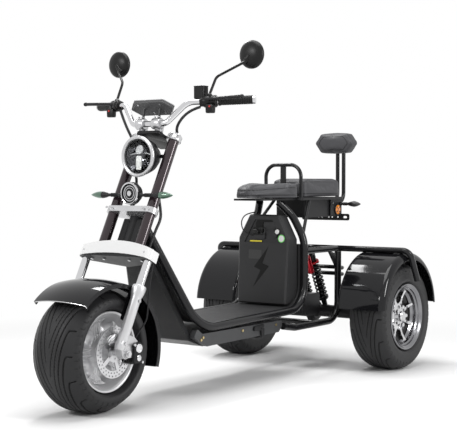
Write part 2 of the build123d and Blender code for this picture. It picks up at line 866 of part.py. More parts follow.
def slider(side):
    """One lower fork leg with its axle lug; the left one also carries the brake."""
    x = side * fork_leg_half_width
    with BuildPart() as leg:
        with BuildSketch(fork_plane(slider_low)):
            with Locations((x, leg_back)):
                Circle(slider_diameter / 2)
        extrude(amount=slider_high - slider_low)
        with BuildSketch(fork_plane(slider_high - cup_height)):
            with Locations((x, leg_back)):
                Circle(cup_diameter / 2)
        extrude(amount=cup_height)
        leg_at_axle = fork_point(0, leg_back, axle_rise + 26)
        with BuildSketch(Plane.YZ.offset(x - lug_half_width)):
            with Locations((front_axle_y, front_tyre_r)):
                Circle(19)
            with Locations((leg_at_axle.Y, leg_at_axle.Z)):
                Circle(16)
            make_hull()
        extrude(amount=2 * lug_half_width)
        if side > 0:
            ear = fork_point(0, leg_back, axle_rise + 60)
            with BuildSketch(Plane.YZ.offset(bracket_x)):
                with Locations((ear.Y, ear.Z)):
                    Circle(18)
                with Locations((caliper_y, caliper_z + 6)):
                    Circle(26)
                with Locations((leg_at_axle.Y, leg_at_axle.Z - 12)):
                    Circle(16)
                make_hull()
            extrude(amount=8)
        with BuildSketch(fork_plane(bore_floor)):
            with Locations((x, leg_back)):
                Circle(lower_tube_diameter / 2 + running_gap)
        extrude(amount=slider_high - bore_floor, mode=Mode.SUBTRACT)
        with BuildSketch(Plane.YZ.offset(x - 30)):
            with Locations((front_axle_y, front_tyre_r)):
                Circle(axle_diameter / 2 + running_gap)
        extrude(amount=60, mode=Mode.SUBTRACT)
    return leg.part


with BuildPart() as fork_sliders:
    add(slider(1))
    add(slider(-1))
save("fork_sliders", fork_sliders.part)

spacer_gap = face_gap
with BuildPart() as front_spindle:
    with BuildSketch(Plane.YZ.offset(-fork_leg_half_width - lug_half_width - 14)):
        with Locations((front_axle_y, front_tyre_r)):
            Circle(axle_diameter / 2)
    extrude(amount=2 * (fork_leg_half_width + lug_half_width + 14))
    for start, end, size in (
        (disc_x + disc_thickness / 2 + spacer_gap, bracket_x - face_gap, 22),
        (-fork_leg_half_width + lug_half_width + face_gap, -hub_half_length - spacer_gap, 22),
    ):
        with BuildSketch(Plane.YZ.offset(start)):
            with Locations((front_axle_y, front_tyre_r)):
                Circle(size / 2)
        extrude(amount=end - start)
    nut_start = fork_leg_half_width + lug_half_width + face_gap
    for start in (nut_start, -nut_start - 10):
        with BuildSketch(Plane.YZ.offset(start)):
            with Locations((front_axle_y, front_tyre_r)):
                RegularPolygon(14, 6)
        extrude(amount=10)
save("front_spindle", front_spindle.part)

crown_cap = 6
with BuildPart() as fork_tubes:
    add(fork_rods(fork_leg_half_width, leg_back, bore_floor, bridge_high, lower_tube_diameter))
    add(fork_rods(fork_tube_half_width, leg_back, bridge_high, crown_high + crown_cap, upper_tube_diameter))
    cap_diameter = upper_tube_diameter + 4
    add(fork_rods(fork_tube_half_width, leg_back, crown_high, crown_high + crown_cap, cap_diameter))
save("fork_tubes", fork_tubes.part)

# ---------------------------------------------------------------- bridge, yokes and cover
bridge_half = 165
bridge_depth = upper_tube_diameter + 14
with BuildPart() as fork_bridge:
    with BuildSketch(fork_plane(bridge_low)):
        with Locations((0, leg_back)):
            RectangleRounded(2 * bridge_half, bridge_depth, 20)
        Circle(30)
        make_hull()
    extrude(amount=bridge_high - bridge_low)
    with BuildSketch(fork_plane(bridge_low)):
        with Locations((fork_leg_half_width, leg_back), (-fork_leg_half_width, leg_back)):
            Circle(lower_tube_diameter / 2 + running_gap)
    extrude(amount=bridge_high - bridge_low, mode=Mode.SUBTRACT)
    with BuildSketch(fork_plane(bridge_low)):
        Circle(stem_diameter / 2)
    extrude(amount=yoke_high - bridge_low)
    with BuildSketch(fork_plane(bridge_high)):
        with Locations((fork_tube_half_width, leg_back), (-fork_tube_half_width, leg_back)):
            Circle(upper_tube_diameter / 2 + 6)
            Circle(upper_tube_diameter / 2 + running_gap, mode=Mode.SUBTRACT)
    extrude(amount=20)
save("fork_bridge", fork_bridge.part)


def yoke(low, high, nose):
    """A clamp plate round both upper tubes, with its boss on the steering axis."""
    with BuildPart() as plate:
        with BuildSketch(fork_plane(low)):
            with Locations((fork_tube_half_width, leg_back), (-fork_tube_half_width, leg_back)):
                Circle(upper_tube_diameter / 2 + 7)
            with Locations((58, nose), (-58, nose)):
                Circle(12)
            Circle(26)
            make_hull()
        extrude(amount=high - low)
        with BuildSketch(fork_plane(low)):
            with Locations((fork_tube_half_width, leg_back), (-fork_tube_half_width, leg_back)):
                Circle(upper_tube_diameter / 2 + running_gap)
        extrude(amount=high - low, mode=Mode.SUBTRACT)
    return plate.part


bar_back = -100
bar_rise = 1091
riser_half_depth = 22
with BuildPart() as lower_yoke:
    add(yoke(yoke_low, yoke_high, leg_back - 10))
    with BuildSketch(fork_plane(yoke_low)):
        Circle(stem_diameter / 2 + running_gap)
    extrude(amount=yoke_high - yoke_low, mode=Mode.SUBTRACT)
save("lower_yoke", lower_yoke.part)
save("top_yoke", yoke(crown_low, crown_high, bar_back - 8))

cover_sheet = 3
cover_front = leg_back - bridge_depth / 2 - face_gap - cover_sheet / 2
cover_half = bridge_half + face_gap + cover_sheet / 2
with BuildPart() as bridge_cover:
    with BuildSketch(fork_plane(bridge_low - 14)):
        with BuildLine():
            FilletPolyline(
                (cover_half, leg_back + 20),
                (cover_half, cover_front),
                (-cover_half, cover_front),
                (-cover_half, leg_back + 20),
                radius=21.8,
            )
        trace(line_width=cover_sheet)
    extrude(amount=80)
    with BuildSketch(Plane(origin=steer_foot, x_dir=(1, 0, 0), z_dir=-steer_back)):
        with BuildLine():
            reach = cover_half + 2
            ThreePointArc((-reach, bridge_low - 3), (0, bridge_low + 12), (reach, bridge_low - 3))
            Line((reach, bridge_low - 3), (reach, bridge_high + 7))
            ThreePointArc((reach, bridge_high + 7), (0, bridge_high + 32), (-reach, bridge_high + 7))
            Line((-reach, bridge_high + 7), (-reach, bridge_low - 3))
        make_face()
    extrude(amount=200, both=True, mode=Mode.INTERSECT)
save("bridge_cover", bridge_cover.part)

# ---------------------------------------------------------------- handlebar and risers
bar_diameter = 22
bar_middle = fork_point(0, bar_back, bar_rise)
riser_x = 38
riser_half_width = 24
with BuildPart() as handlebar_risers:
    for x in (riser_x, -riser_x):
        with BuildSketch(fork_plane(crown_high + face_gap)):
            with Locations((x, bar_back)):
                RectangleRounded(2 * riser_half_width, 2 * riser_half_depth, 8)
        extrude(amount=2 * (bar_rise - crown_high))
    with BuildSketch(Plane(origin=bar_middle, x_dir=(0, 1, 0), z_dir=(1, 0, 0))):
        Circle(bar_diameter / 2 + running_gap)
    extrude(amount=100, both=True, mode=Mode.SUBTRACT)
save("handlebar_risers", handlebar_risers.part)

bar_knee = Vector(148, bar_middle.Y + 38, bar_middle.Z + 76)
bar_tip = Vector(374, bar_middle.Y + 142, bar_middle.Z + 83)
bar_dir = (bar_tip - bar_knee).normalized()
bar_reach = (bar_tip - bar_knee).length


def bar_plane(along):
    """The plane square to the left bar end, measured out from the bar's upper bend."""
    return Plane(origin=bar_knee + bar_dir * along, x_dir=(0, 0, 1), z_dir=bar_dir)


left_bar = [(78, bar_middle.Y, bar_middle.Z), tuple(bar_knee), tuple(bar_tip)]
right_bar = [(-x, y, z) for x, y, z in left_bar[::-1]]
grip_start = bar_reach - 132
grip_end = bar_reach - 6
grip_diameter = 32
with BuildPart() as handlebar:
    add(bent_tube(right_bar + left_bar, [60, 32, 32, 60], bar_diameter))
    with BuildPart(mode=Mode.PRIVATE) as bar_end:
        with BuildSketch(bar_plane(grip_end + face_gap)):
            Circle(grip_diameter / 2 - 1)
        extrude(amount=9)
    add(both_sides(bar_end.part))
save("handlebar", handlebar.part)

with BuildPart() as left_grip:
    with BuildSketch(bar_plane(grip_start)):
        Circle(grip_diameter / 2)
        Circle(bar_diameter / 2 + running_gap, mode=Mode.SUBTRACT)
    extrude(amount=grip_end - grip_start)
save("grips", both_sides(left_grip.part))

perch_start = 48
perch_end = grip_start - 4
mirror_root = Vector(222, bar_middle.Y + 74, bar_middle.Z + 104)
lever_root = bar_plane(perch_end - 20).from_local_coords((6, 0, 0)) + Vector(0, -14, 0)
lever_tip = Vector(372, bar_middle.Y + 60, bar_middle.Z + 90)
with BuildPart() as left_control:
    with BuildSketch(bar_plane(perch_start)):
        Circle(18)
    extrude(amount=perch_end - perch_start)
    add(straight_rod(bar_plane(perch_end - 26).origin, mirror_root, 18))
    add(straight_rod(lever_root, lever_tip, 10))
    add(straight_rod(bar_plane(perch_end - 22).origin, lever_root, 18))
    with BuildSketch(bar_plane(perch_start)):
        Circle(bar_diameter / 2 + running_gap)
    extrude(amount=perch_end - perch_start, mode=Mode.SUBTRACT)
with BuildPart() as hand_controls:
    add(both_sides(left_control.part))
    with BuildPart(mode=Mode.PRIVATE) as brake_reservoir:
        with BuildSketch(Plane.XY.offset(bar_middle.Z + 84)):
            with Locations((186, bar_middle.Y + 70)):
                RectangleRounded(44, 36, 6)
        extrude(amount=50)
    add(brake_reservoir.part)
    add(handlebar.part, mode=Mode.SUBTRACT)
save("hand_controls", hand_controls.part)

# ---------------------------------------------------------------- mirrors, display and lights
mirror_r = 51
mirror_depth = 18
mirror_centre = Vector(321, bar_middle.Y + 197, bar_middle.Z + 253)
mirror_knee = mirror_root + Vector(4, 36, 66)
with BuildPart() as left_mirror:
    add(
        bent_tube(
            [tuple(mirror_root), tuple(mirror_knee), tuple(mirror_centre - Vector(0, mirror_depth / 2, 18))],
            [34],
            10,
        )
    )
    glass_face = mirror_centre + Vector(0, mirror_depth / 2, 0)
    with BuildSketch(Plane(origin=glass_face, x_dir=(1, 0, 0), z_dir=(0, -1, 0))):
        Circle(mirror_r)
    extrude(amount=mirror_depth)
    add(hand_controls.part, mode=Mode.SUBTRACT)
    rings = left_mirror.edges().filter_by(GeomType.CIRCLE)
    fillet(rings.filter_by(lambda ring: abs(ring.radius - mirror_r) < 1).sort_by(Axis.Y)[0], 12)
save("mirrors", both_sides(left_mirror.part))

display_half = 100
display_depth = 70
display_thickness = 14
display_middle = (0, bar_middle.Y + 14, bar_middle.Z + 56)
display_plane = Plane(origin=display_middle, x_dir=(1, 0, 0), z_dir=(0, 0.64, 0.77))
riser_top = fork_point(riser_x, bar_back, 2 * bar_rise - crown_high + face_gap)
with BuildPart() as display:
    with BuildSketch(display_plane):
        with BuildLine():
            Polyline(
                (-display_half, 0),
                (-display_half + 32, -display_depth / 2),
                (display_half - 32, -display_depth / 2),
                (display_half, 0),
                (display_half - 32, display_depth / 2),
                (-display_half + 32, display_depth / 2),
                close=True,
            )
        make_face()
        fillet(vertices(), 5)
    extrude(amount=display_thickness)
    with BuildPart(mode=Mode.PRIVATE) as stalk:
        add(straight_rod(riser_top - steer_dir * 2, display_plane.from_local_coords((riser_x, 0, 4)), 10))
    add(both_sides(stalk.part))
    add(handlebar_risers.part, mode=Mode.SUBTRACT)
save("display", display.part)

headlight_z = 896
headlight_y = front_axle_y + 247
headlight_r = 75
lens_r = 66
tube_y = front_axle_y + 325
with BuildPart() as headlight_bucket:
    with BuildSketch(Plane(origin=(0, 0, headlight_z), x_dir=(0, 1, 0), z_dir=(1, 0, 0))):
        with BuildLine():
            Polyline(
                (headlight_y + 12, 0),
                (headlight_y + 12, 70),
                (headlight_y + 30, 69),
                (headlight_y + 58, 60),
                (headlight_y + 76, 48),
                (headlight_y + 90, 40),
                (headlight_y + 90, 0),
                close=True,
            )
        make_face()
        with Locations((headlight_y + 12, 0)):
            Ellipse(44, 60, mode=Mode.SUBTRACT)
    revolve(axis=Axis((0, 0, headlight_z), (0, 1, 0)))
    with BuildSketch(Plane(origin=(0, tube_y, headlight_z), x_dir=(0, 1, 0), z_dir=(1, 0, 0))):
        Circle(7)
    extrude(amount=fork_tube_half_width - upper_tube_diameter / 2 - face_gap, both=True)
save("headlight_bucket", headlight_bucket.part)
glass_seat = (0, headlight_y + 12 - face_gap, headlight_z)
with BuildPart() as headlight_rim:
    with BuildSketch(Plane(origin=glass_seat, x_dir=(1, 0, 0), z_dir=(0, -1, 0))):
        Circle(headlight_r)
        Circle(lens_r, mode=Mode.SUBTRACT)
    extrude(amount=12)
    fillet(headlight_rim.edges().filter_by(GeomType.CIRCLE).sort_by(Axis.Y)[0:2], 3)
save("headlight_rim", headlight_rim.part)
with BuildPart() as headlight_lens:
    with BuildSketch(Plane(origin=glass_seat, x_dir=(1, 0, 0), z_dir=(0, -1, 0))):
        Circle(lens_r - face_gap)
    extrude(amount=7)
save("headlight_lens", headlight_lens.part)

horn_z = 761
horn_y = front_axle_y + 204
horn_r = 41
horn_depth = 40
strap_foot = fork_point(0, leg_back - 12, yoke_high + face_gap)
with BuildPart() as horn:
    with BuildSketch(Plane(origin=(0, horn_y + horn_depth, horn_z), x_dir=(1, 0, 0), z_dir=(0, -1, 0))):
        Circle(horn_r - 8)
    extrude(amount=horn_depth)
    with BuildSketch(Plane(origin=(0, horn_y + 22, horn_z), x_dir=(1, 0, 0), z_dir=(0, -1, 0))):
        Circle(horn_r)
    extrude(amount=22)
    with BuildSketch(Plane.YZ.offset(-10)):
        with BuildLine():
            Polyline(
                (strap_foot.Y, strap_foot.Z + 1.4),
                (horn_y + horn_depth + 1.5, horn_z - 40),
                (horn_y + horn_depth + 1.5, horn_z + 10),
            )
        trace(line_width=4)
    extrude(amount=20)
save("horn", horn.part)

signal_tip = 195
with BuildPart() as left_front_signal:
    with BuildSketch(Plane.YZ.offset(horn_r + face_gap)):
        with Locations((horn_y + 10, horn_z - 6)):
            Circle(5)
    extrude(amount=72)
    with BuildSketch(Plane(origin=(0, horn_y + 10, horn_z - 6), x_dir=(1, 0, 0), z_dir=(0, -1, 0))):
        with BuildLine():
            Spline((108, 0), (118, 13), (150, 13), (signal_tip, 0))
            Line((signal_tip, 0), (108, 0))
        make_face()
    revolve(axis=Axis((0, horn_y + 10, horn_z - 6), (1, 0, 0)))
save("front_turn_signals", both_sides(left_front_signal.part))

# ---------------------------------------------------------------- front fender, brake and hose
front_fender_r = 250
front_fender_half = 118
front_fender_wall = 3
fender_start = Vector(0, 0.9455, -0.3256)
fender_normal = Vector(0, 0.3256, 0.9455)
plate_thickness = 3.4
with BuildPart() as front_fender:
    with BuildSketch(Plane(origin=front_axle, x_dir=(1, 0, 0), z_dir=fender_normal)):
        with BuildLine():
            lip = front_fender_r - 26
            shoulder = front_fender_r - 14
            crown = front_fender_r - front_fender_wall / 2
            Line((-front_fender_half, lip), (-front_fender_half, shoulder))
            ThreePointArc((-front_fender_half, shoulder), (0, crown), (front_fender_half, shoulder))
            Line((front_fender_half, shoulder), (front_fender_half, lip))
        trace(line_width=front_fender_wall)
    revolve(axis=Axis(front_axle, (1, 0, 0)), revolution_arc=151)
    for side in (1, -1):
        plate_plane = Plane(origin=(side * front_fender_half, 0, 0), x_dir=(0, 1, 0), z_dir=(1, 0, 0))
        plate_corners = ((-56, 344), (-24, 344), (-24, 462), (-56, 462))
        spots = [fork_point(0, back, rise) for back, rise in plate_corners]
        with BuildSketch(plate_plane):
            with BuildLine():
                Polyline(*[(spot.Y, spot.Z) for spot in spots], close=True)
            make_face()
            fillet(vertices(), 6)
        extrude(amount=side * plate_thickness)
        for rise in (362, 412):
            boss = fork_point(0, leg_back, rise)
            with BuildSketch(plate_plane):
                with Locations((boss.Y, boss.Z)):
                    Circle(8)
            extrude(amount=side * (fork_leg_half_width - slider_diameter / 2 - face_gap - front_fender_half))
save("front_fender", front_fender.part)

with BuildPart() as brake_caliper:
    with BuildSketch(Plane.YZ.offset(disc_x - 12)):
        with Locations((caliper_y, caliper_z)):
            RectangleRounded(58, 80, 16)
    extrude(amount=bracket_x - face_gap - (disc_x - 12))
    with BuildSketch(Plane.YZ.offset(disc_x - disc_gap)):
        with Locations((front_axle_y, front_tyre_r)):
            Circle(disc_r + 4)
    extrude(amount=2 * disc_gap, mode=Mode.SUBTRACT)
save("brake_caliper", brake_caliper.part)

hose_diameter = 6
hose_points = [
    tuple(fork_point(152, -17, bridge_low - 1)),
    tuple(fork_point(154, -6, 500)),
    tuple(fork_point(156, 18, 430)),
    (146, front_axle_y + 128, 318),
    (128, front_axle_y + 112, 284),
    (112, front_axle_y + 98, caliper_z + 41.6),
]


def corner_radii(points):
    """The largest easy bend at each corner of a cord's path."""
    radii = []
    for before, corner, after in zip(points, points[1:], points[2:]):
        run_in = Vector(*corner) - Vector(*before)
        run_out = Vector(*after) - Vector(*corner)
        half_turn = radians(run_in.get_angle(run_out)) / 2
        radii.append(0.45 * min(run_in.length, run_out.length) / tan(half_turn))
    return radii


def cord(points, diameter):
    """A round cord laid along easy bends."""
    return bent_tube(points, corner_radii(points), diameter)


save("brake_hose", cord(hose_points, hose_diameter))

lead_diameter = 5
plug_spots = [
    (-47, battery_height - 90, -1),
    (-78, battery_height - 84, 8),
    (-95, battery_height - 62, 22),
]
lead_points = [tuple(battery_plane.from_local_coords(spot)) for spot in plug_spots]
lead_points.append((-97, battery_front_y - 5, 642))
lead_points.append((-98, battery_front_y + 35, 668))
lead_points.append((-88, hoop_y - 24.6, 672))
save("charge_lead", cord(lead_points, lead_diameter))

loom_diameter = 11
left_loom_points = [
    (192, bar_middle.Y + 58, bar_middle.Z + 58.6),
    (150, bar_middle.Y + 44, bar_middle.Z + 48),
    (104, bar_middle.Y + 26, bar_middle.Z - 8),
    tuple(fork_point(60, 4, 1092)),
    tuple(fork_point(54, 18, 1040)),
    tuple(fork_point(60, 2, 940)),
    tuple(fork_point(64, 0, 840)),
    tuple(fork_point(84, 4, 800)),
    tuple(fork_point(110, -2, 752)),
    tuple(fork_point(112, -16, 690)),
    tuple(fork_point(104, -8, bridge_high + 1.8)),
]
save("left_loom", cord(left_loom_points, loom_diameter))
right_loom_points = [
    (-192, bar_middle.Y + 58, bar_middle.Z + 59.5),
    (-158, bar_middle.Y + 44, bar_middle.Z + 6),
    tuple(fork_point(-126, -12, 1059)),
    tuple(fork_point(-100, 8, 960)),
    tuple(fork_point(-62, 6, 890)),
    tuple(fork_point(-56, 6, 820)),
    tuple(fork_point(-50, -4, yoke_high + 1.6)),
]
save("right_loom", cord(right_loom_points, loom_diameter))
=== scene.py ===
"""Three-wheeled electric scooter with fat tyres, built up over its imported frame.

Metres.  +Z is up, the scooter faces -Y and its left side is +X.
"""
from math import acos, atan2, cos, hypot, pi, radians, sin

import bmesh
import bpy
import numpy as np
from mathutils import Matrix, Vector
from mathutils.bvhtree import BVHTree


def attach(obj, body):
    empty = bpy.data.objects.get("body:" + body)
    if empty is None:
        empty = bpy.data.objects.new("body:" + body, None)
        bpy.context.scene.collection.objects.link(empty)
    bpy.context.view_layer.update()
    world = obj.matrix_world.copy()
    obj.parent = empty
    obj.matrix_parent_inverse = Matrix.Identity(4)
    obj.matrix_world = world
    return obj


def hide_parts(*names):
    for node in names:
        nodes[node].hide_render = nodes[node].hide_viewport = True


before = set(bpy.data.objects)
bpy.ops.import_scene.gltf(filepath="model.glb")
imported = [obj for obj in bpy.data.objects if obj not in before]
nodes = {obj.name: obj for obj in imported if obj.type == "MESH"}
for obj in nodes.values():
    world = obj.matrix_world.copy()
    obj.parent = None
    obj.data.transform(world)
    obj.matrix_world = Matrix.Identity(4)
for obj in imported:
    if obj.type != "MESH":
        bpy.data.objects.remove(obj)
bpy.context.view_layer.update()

# ---------------------------------------------------------------- objects and finishes
# What later sections share: putting things in the scene, and node trees for finishes.
def in_scene(name, data):
    """A new object in the scene."""
    made = bpy.data.objects.new(name, data)
    bpy.context.scene.collection.objects.link(made)
    return made


def aim_from(holder, place, toward):
    """Stands a camera or a lamp at a place and looks along a direction."""
    holder.location = place
    holder.rotation_mode = "QUATERNION"
    holder.rotation_quaternion = Vector(toward).to_track_quat("-Z", "Y")


def give(tree, made, inputs):
    """Sets a node's inputs, or links them where the value is another node's output."""
    for key, value in inputs.items():
        if isinstance(value, bpy.types.NodeSocket):
            tree.links.new(value, made.inputs[key])
        else:
            made.inputs[key].default_value = value


def add_node(tree, kind, inputs=None, **settings):
    """A new node with its settings and inputs."""
    made = tree.nodes.new(kind)
    for name, value in settings.items():
        setattr(made, name, value)
    give(tree, made, inputs or {})
    return made


def sockets(tree, way, *wanted):
    """Adds a group's own sockets, each given as its name and kind."""
    for name, kind in wanted:
        tree.interface.new_socket(name, in_out=way, socket_type="NodeSocket" + kind)


def variation_group():
    """Noise that mottles a colour, spreads its roughness and gives a fine height."""
    group = bpy.data.node_groups.new("surface_variation", "ShaderNodeTree")
    sockets(group, "INPUT", ("Vector", "Vector"), ("Colour", "Color"), ("Mottle", "Float"),
            ("Patch Scale", "Float"), ("Roughness", "Float"), ("Spread", "Float"), ("Grain Scale", "Float"))
    sockets(group, "OUTPUT", ("Colour", "Color"), ("Roughness", "Float"), ("Height", "Float"))
    given = add_node(group, "NodeGroupInput").outputs
    patch = add_node(group, "ShaderNodeTexNoise",
                     {"Vector": given["Vector"], "Scale": given["Patch Scale"], "Detail": 5})
    grain = add_node(group, "ShaderNodeTexNoise",
                     {"Vector": given["Vector"], "Scale": given["Grain Scale"], "Detail": 3})
    centred = add_node(group, "ShaderNodeMath", {0: patch.outputs["Fac"], 1: 2, 2: -1},
                       operation="MULTIPLY_ADD")
    gain = add_node(group, "ShaderNodeMath", {0: centred.outputs[0], 1: given["Mottle"], 2: 1},
                    operation="MULTIPLY_ADD")
    tint = add_node(group, "ShaderNodeVectorMath", {0: given["Colour"], "Scale": gain.outputs[0]},
                    operation="SCALE")
    rough = add_node(group, "ShaderNodeMath",
                     {0: centred.outputs[0], 1: given["Spread"], 2: given["Roughness"]},
                     operation="MULTIPLY_ADD", use_clamp=True)
    add_node(group, "NodeGroupOutput",
             {"Colour": tint.outputs[0], "Roughness": rough.outputs[0], "Height": grain.outputs["Fac"]})
    return group


surface_variation = variation_group()


def finish(name, colour, metallic=0.0, roughness=0.5, mottle=0.15, patch=25, spread=0.06, grain=900,
           bump=0.0002, coat=0.0, shine=0.5):
    """A material: one finish with its own mottling, roughness spread and fine grain."""
    material = bpy.data.materials.new(name)
    material.use_nodes = True
    tree = material.node_tree
    where = add_node(tree, "ShaderNodeTexCoord")
    varied = add_node(tree, "ShaderNodeGroup", {
        "Vector": where.outputs["Object"], "Colour": (*colour, 1), "Mottle": mottle, "Patch Scale": patch,
        "Roughness": roughness, "Spread": spread, "Grain Scale": grain,
    }, node_tree=surface_variation).outputs
    raised = add_node(tree, "ShaderNodeBump", {"Strength": 1, "Distance": bump, "Height": varied["Height"]})
    give(tree, tree.nodes["Principled BSDF"], {
        "Base Color": varied["Colour"], "Roughness": varied["Roughness"], "Metallic": metallic,
        "Specular IOR Level": shine, "Coat Weight": coat, "Coat Roughness": 0.03,
        "Normal": raised.outputs["Normal"],
    })
    return material


def patterned(material, kind, scale, depth, **settings):
    """Adds a second bump to a finish from a pattern over the piece's own place."""
    tree = material.node_tree
    where = tree.nodes["Texture Coordinate"].outputs["Object"]
    pattern = add_node(tree, kind, {"Scale": scale, "Vector": where}, **settings)
    coarse = add_node(tree, "ShaderNodeBump", {
        "Strength": 1, "Distance": depth, "Height": pattern.outputs["Fac"],
        "Normal": tree.nodes["Bump"].outputs["Normal"],
    })
    give(tree, tree.nodes["Principled BSDF"], {"Normal": coarse.outputs["Normal"]})


def paint(part, material):
    """Gives a CAD node its finish."""
    mesh = nodes[part].data
    mesh.materials.clear()
    mesh.materials.append(material)


hose_rubber = finish("hose_rubber", (0.012, 0.012, 0.013), roughness=0.42, grain=1500, bump=0.0001,
                     shine=0.25)

# ---------------------------------------------------------------- camera
# A long lens looks at the scooter's left front corner from about saddle height.
camera = in_scene("camera", bpy.data.cameras.new("camera"))
camera.data.sensor_width = 36
camera.data.lens = 92
camera_turn, camera_tilt, camera_reach = radians(35.97), radians(1.76), 4.685
looked_at = Vector((0.0224, 0.0331, 0.658))
toward_camera = Vector((
    sin(camera_turn) * cos(camera_tilt), -cos(camera_turn) * cos(camera_tilt), sin(camera_tilt)
))
aim_from(camera, looked_at + toward_camera * camera_reach, -toward_camera)
bpy.context.scene.camera = camera

# ---------------------------------------------------------------- hose, lead and looms
# Black rubber brake hose, charging lead and the two ribbed looms that carry the handlebar
# cables down the fork.  Each runs in one sweep between the fittings that hold its ends.
front_axle = Vector((0, -0.7516, 0.216))
rake = radians(27.2)
steer_up = Vector((0, sin(rake), cos(rake)))
steer_back = Vector((0, cos(rake), -sin(rake)))
steer_foot = front_axle + steer_back * 0.018
steer_foot -= steer_up * (steer_foot.z / cos(rake))
# The left side, toward +X, is numbered 1 and the right side 2.
both_sides = ((1, 1), (2, -1))
# The fork's tubes stand this far from the steering axis: behind it, and to each side.
fork_back, lower_tube_x, upper_tube_x = -40, 145, 86


def on_fork(x, back, rise):
    """A point across, behind and up the steering axis, all in millimetres."""
    return Vector((x / 1000, 0, 0)) + steer_foot + steer_back * back / 1000 + steer_up * rise / 1000


def route(name, points, radius):
    """A smooth curve through its route's points, as thick as the cord."""
    curve = bpy.data.curves.new(name, "CURVE")
    curve.dimensions = "3D"
    curve.bevel_depth = radius
    curve.bevel_resolution = 5
    curve.resolution_u = 16
    curve.use_fill_caps = True
    spline = curve.splines.new("NURBS")
    spline.points.add(len(points) - 1)
    for spot, point in zip(spline.points, points):
        spot.co = (*point, 1)
    spline.order_u = 3
    spline.use_endpoint_u = True
    curve.materials.append(hose_rubber)
    return in_scene(name, curve)


def bare_cord(name, part, body, points, diameter):
    """A smooth rubber cord along its route."""
    cord = route(name, points, diameter / 2)
    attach(cord, body)
    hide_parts(part)


bare_cord("brake_hose_run", "brake_hose", "fork", [
    on_fork(152, -17, 571), on_fork(154, -6, 500), on_fork(156, 18, 430),
    Vector((0.146, -0.6236, 0.318)), Vector((0.128, -0.6396, 0.284)), Vector((0.112, -0.6536, 0.2496)),
], 0.006)

battery_lean, battery_y, battery_z = radians(3.4), 295, 288.5


def on_battery(x, rise, out):
    """A point on the battery's leaning front: across, up and out of it, in millimetres."""
    return Vector((
        x, battery_y + rise * sin(battery_lean) - out * cos(battery_lean),
        battery_z + rise * cos(battery_lean) + out * sin(battery_lean),
    )) / 1000


bare_cord("charge_lead_run", "charge_lead", "frame", [
    on_battery(-47, 288, -1), on_battery(-78, 294, 8), on_battery(-95, 316, 22),
    Vector((-0.097, 0.290, 0.642)), Vector((-0.098, 0.330, 0.668)), Vector((-0.088, 0.3754, 0.672)),
], 0.005)

bar_middle = on_fork(0, -100, 1091)


def rounded_line(points, bends, arc_steps=10):
    """An open run of corners, each rounded by its own radius."""
    line = [Vector(points[0])]
    for before, corner, after, bend in zip(points, points[1:], points[2:], bends):
        before, corner, after = Vector(before), Vector(corner), Vector(after)
        run_in, run_out = (before - corner).normalized(), (after - corner).normalized()
        half = run_in.angle(run_out) / 2
        reach = bend / np.tan(half)
        middle = corner + (run_in + run_out).normalized() * bend / sin(half)
        start, end = corner + run_in * reach - middle, corner + run_out * reach - middle
        for step in range(arc_steps + 1):
            share = step / arc_steps
            turn = start.angle(end)
            line.append(middle + (start * sin((1 - share) * turn) + end * sin(share * turn)) / sin(turn))
    line.append(Vector(points[-1]))
    return line


def run_of(points):
    """Points along the smooth curve that a cord's route makes."""
    bare = route("bare_route", points, 0)
    graph = bpy.context.evaluated_depsgraph_get()
    mesh = bpy.data.meshes.new_from_object(bare.evaluated_get(graph))
    spots = [vertex.co.copy() for vertex in mesh.vertices]
    bpy.data.objects.remove(bare)
    bpy.data.meshes.remove(mesh)
    return spots


def swept(points, radius, bends=None, sides=14, spacing=None, swell=None):
    """A round bar through points in metres, with its corners rounded and its ends closed."""
    if bends is not None:
        bends = bends if isinstance(bends, (list, tuple)) else [bends] * (len(points) - 2)
        points = rounded_line(points, bends, 8)
    spots = np.array([tuple(point) for point in points], float)
    if spacing:
        lengths = np.concatenate([[0], np.cumsum(np.linalg.norm(np.diff(spots, axis=0), axis=1))])
        stops = np.linspace(0, lengths[-1], max(2, int(lengths[-1] / spacing)) + 1)
        spots = np.stack([np.interp(stops, lengths, spots[:, axis]) for axis in range(3)], axis=1)
    along = np.gradient(spots, axis=0)
    along /= np.linalg.norm(along, axis=1)[:, None]
    side = np.cross(along[0], [0.3, 0.5, 0.81])
    rings = []
    for index, (spot, aim) in enumerate(zip(spots, along)):
        side = side - aim * side.dot(aim)
        side /= np.linalg.norm(side)
        across = np.cross(aim, side)
        wide = radius * (swell(index) if swell else 1)
        turn = np.linspace(0, 2 * pi, sides, endpoint=False)[:, None]
        rings.append(spot + wide * (np.cos(turn) * side + np.sin(turn) * across))
    spots = np.concatenate(rings)
    faces = []
    for ring in range(len(rings) - 1):
        for step in range(sides):
            one, two = ring * sides + step, ring * sides + (step + 1) % sides
            faces.append((one, two, two + sides, one + sides))
    faces += [tuple(range(sides))[::-1], tuple(range(len(spots) - sides, len(spots)))]
    return facing_out(mesh_of("bar", spots.tolist(), faces))


def mesh_of(name, spots, faces=()):
    """A mesh of these points and faces."""
    mesh = bpy.data.meshes.new(name)
    mesh.from_pydata(spots, [], faces)
    return mesh


def facing_out(mesh, merge=True):
    """Turns a closed mesh's faces outward."""
    work = bmesh.new()
    work.from_mesh(mesh)
    if merge:
        bmesh.ops.remove_doubles(work, verts=work.verts, dist=1e-6)
    bmesh.ops.recalc_face_normals(work, faces=work.faces)
    work.to_mesh(mesh)
    work.free()
    return mesh


def place(name, mesh, body, slot, *materials, soft=35, part=None):
    """Puts a finished mesh on its body, smooth except at sharp folds."""
    for material in materials:
        mesh.materials.append(material)
    piece = in_scene(name, mesh)
    mesh.shade_smooth()
    mesh.set_sharp_from_angle(angle=radians(soft))
    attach(piece, body)
    if part:
        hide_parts(part)
    return piece


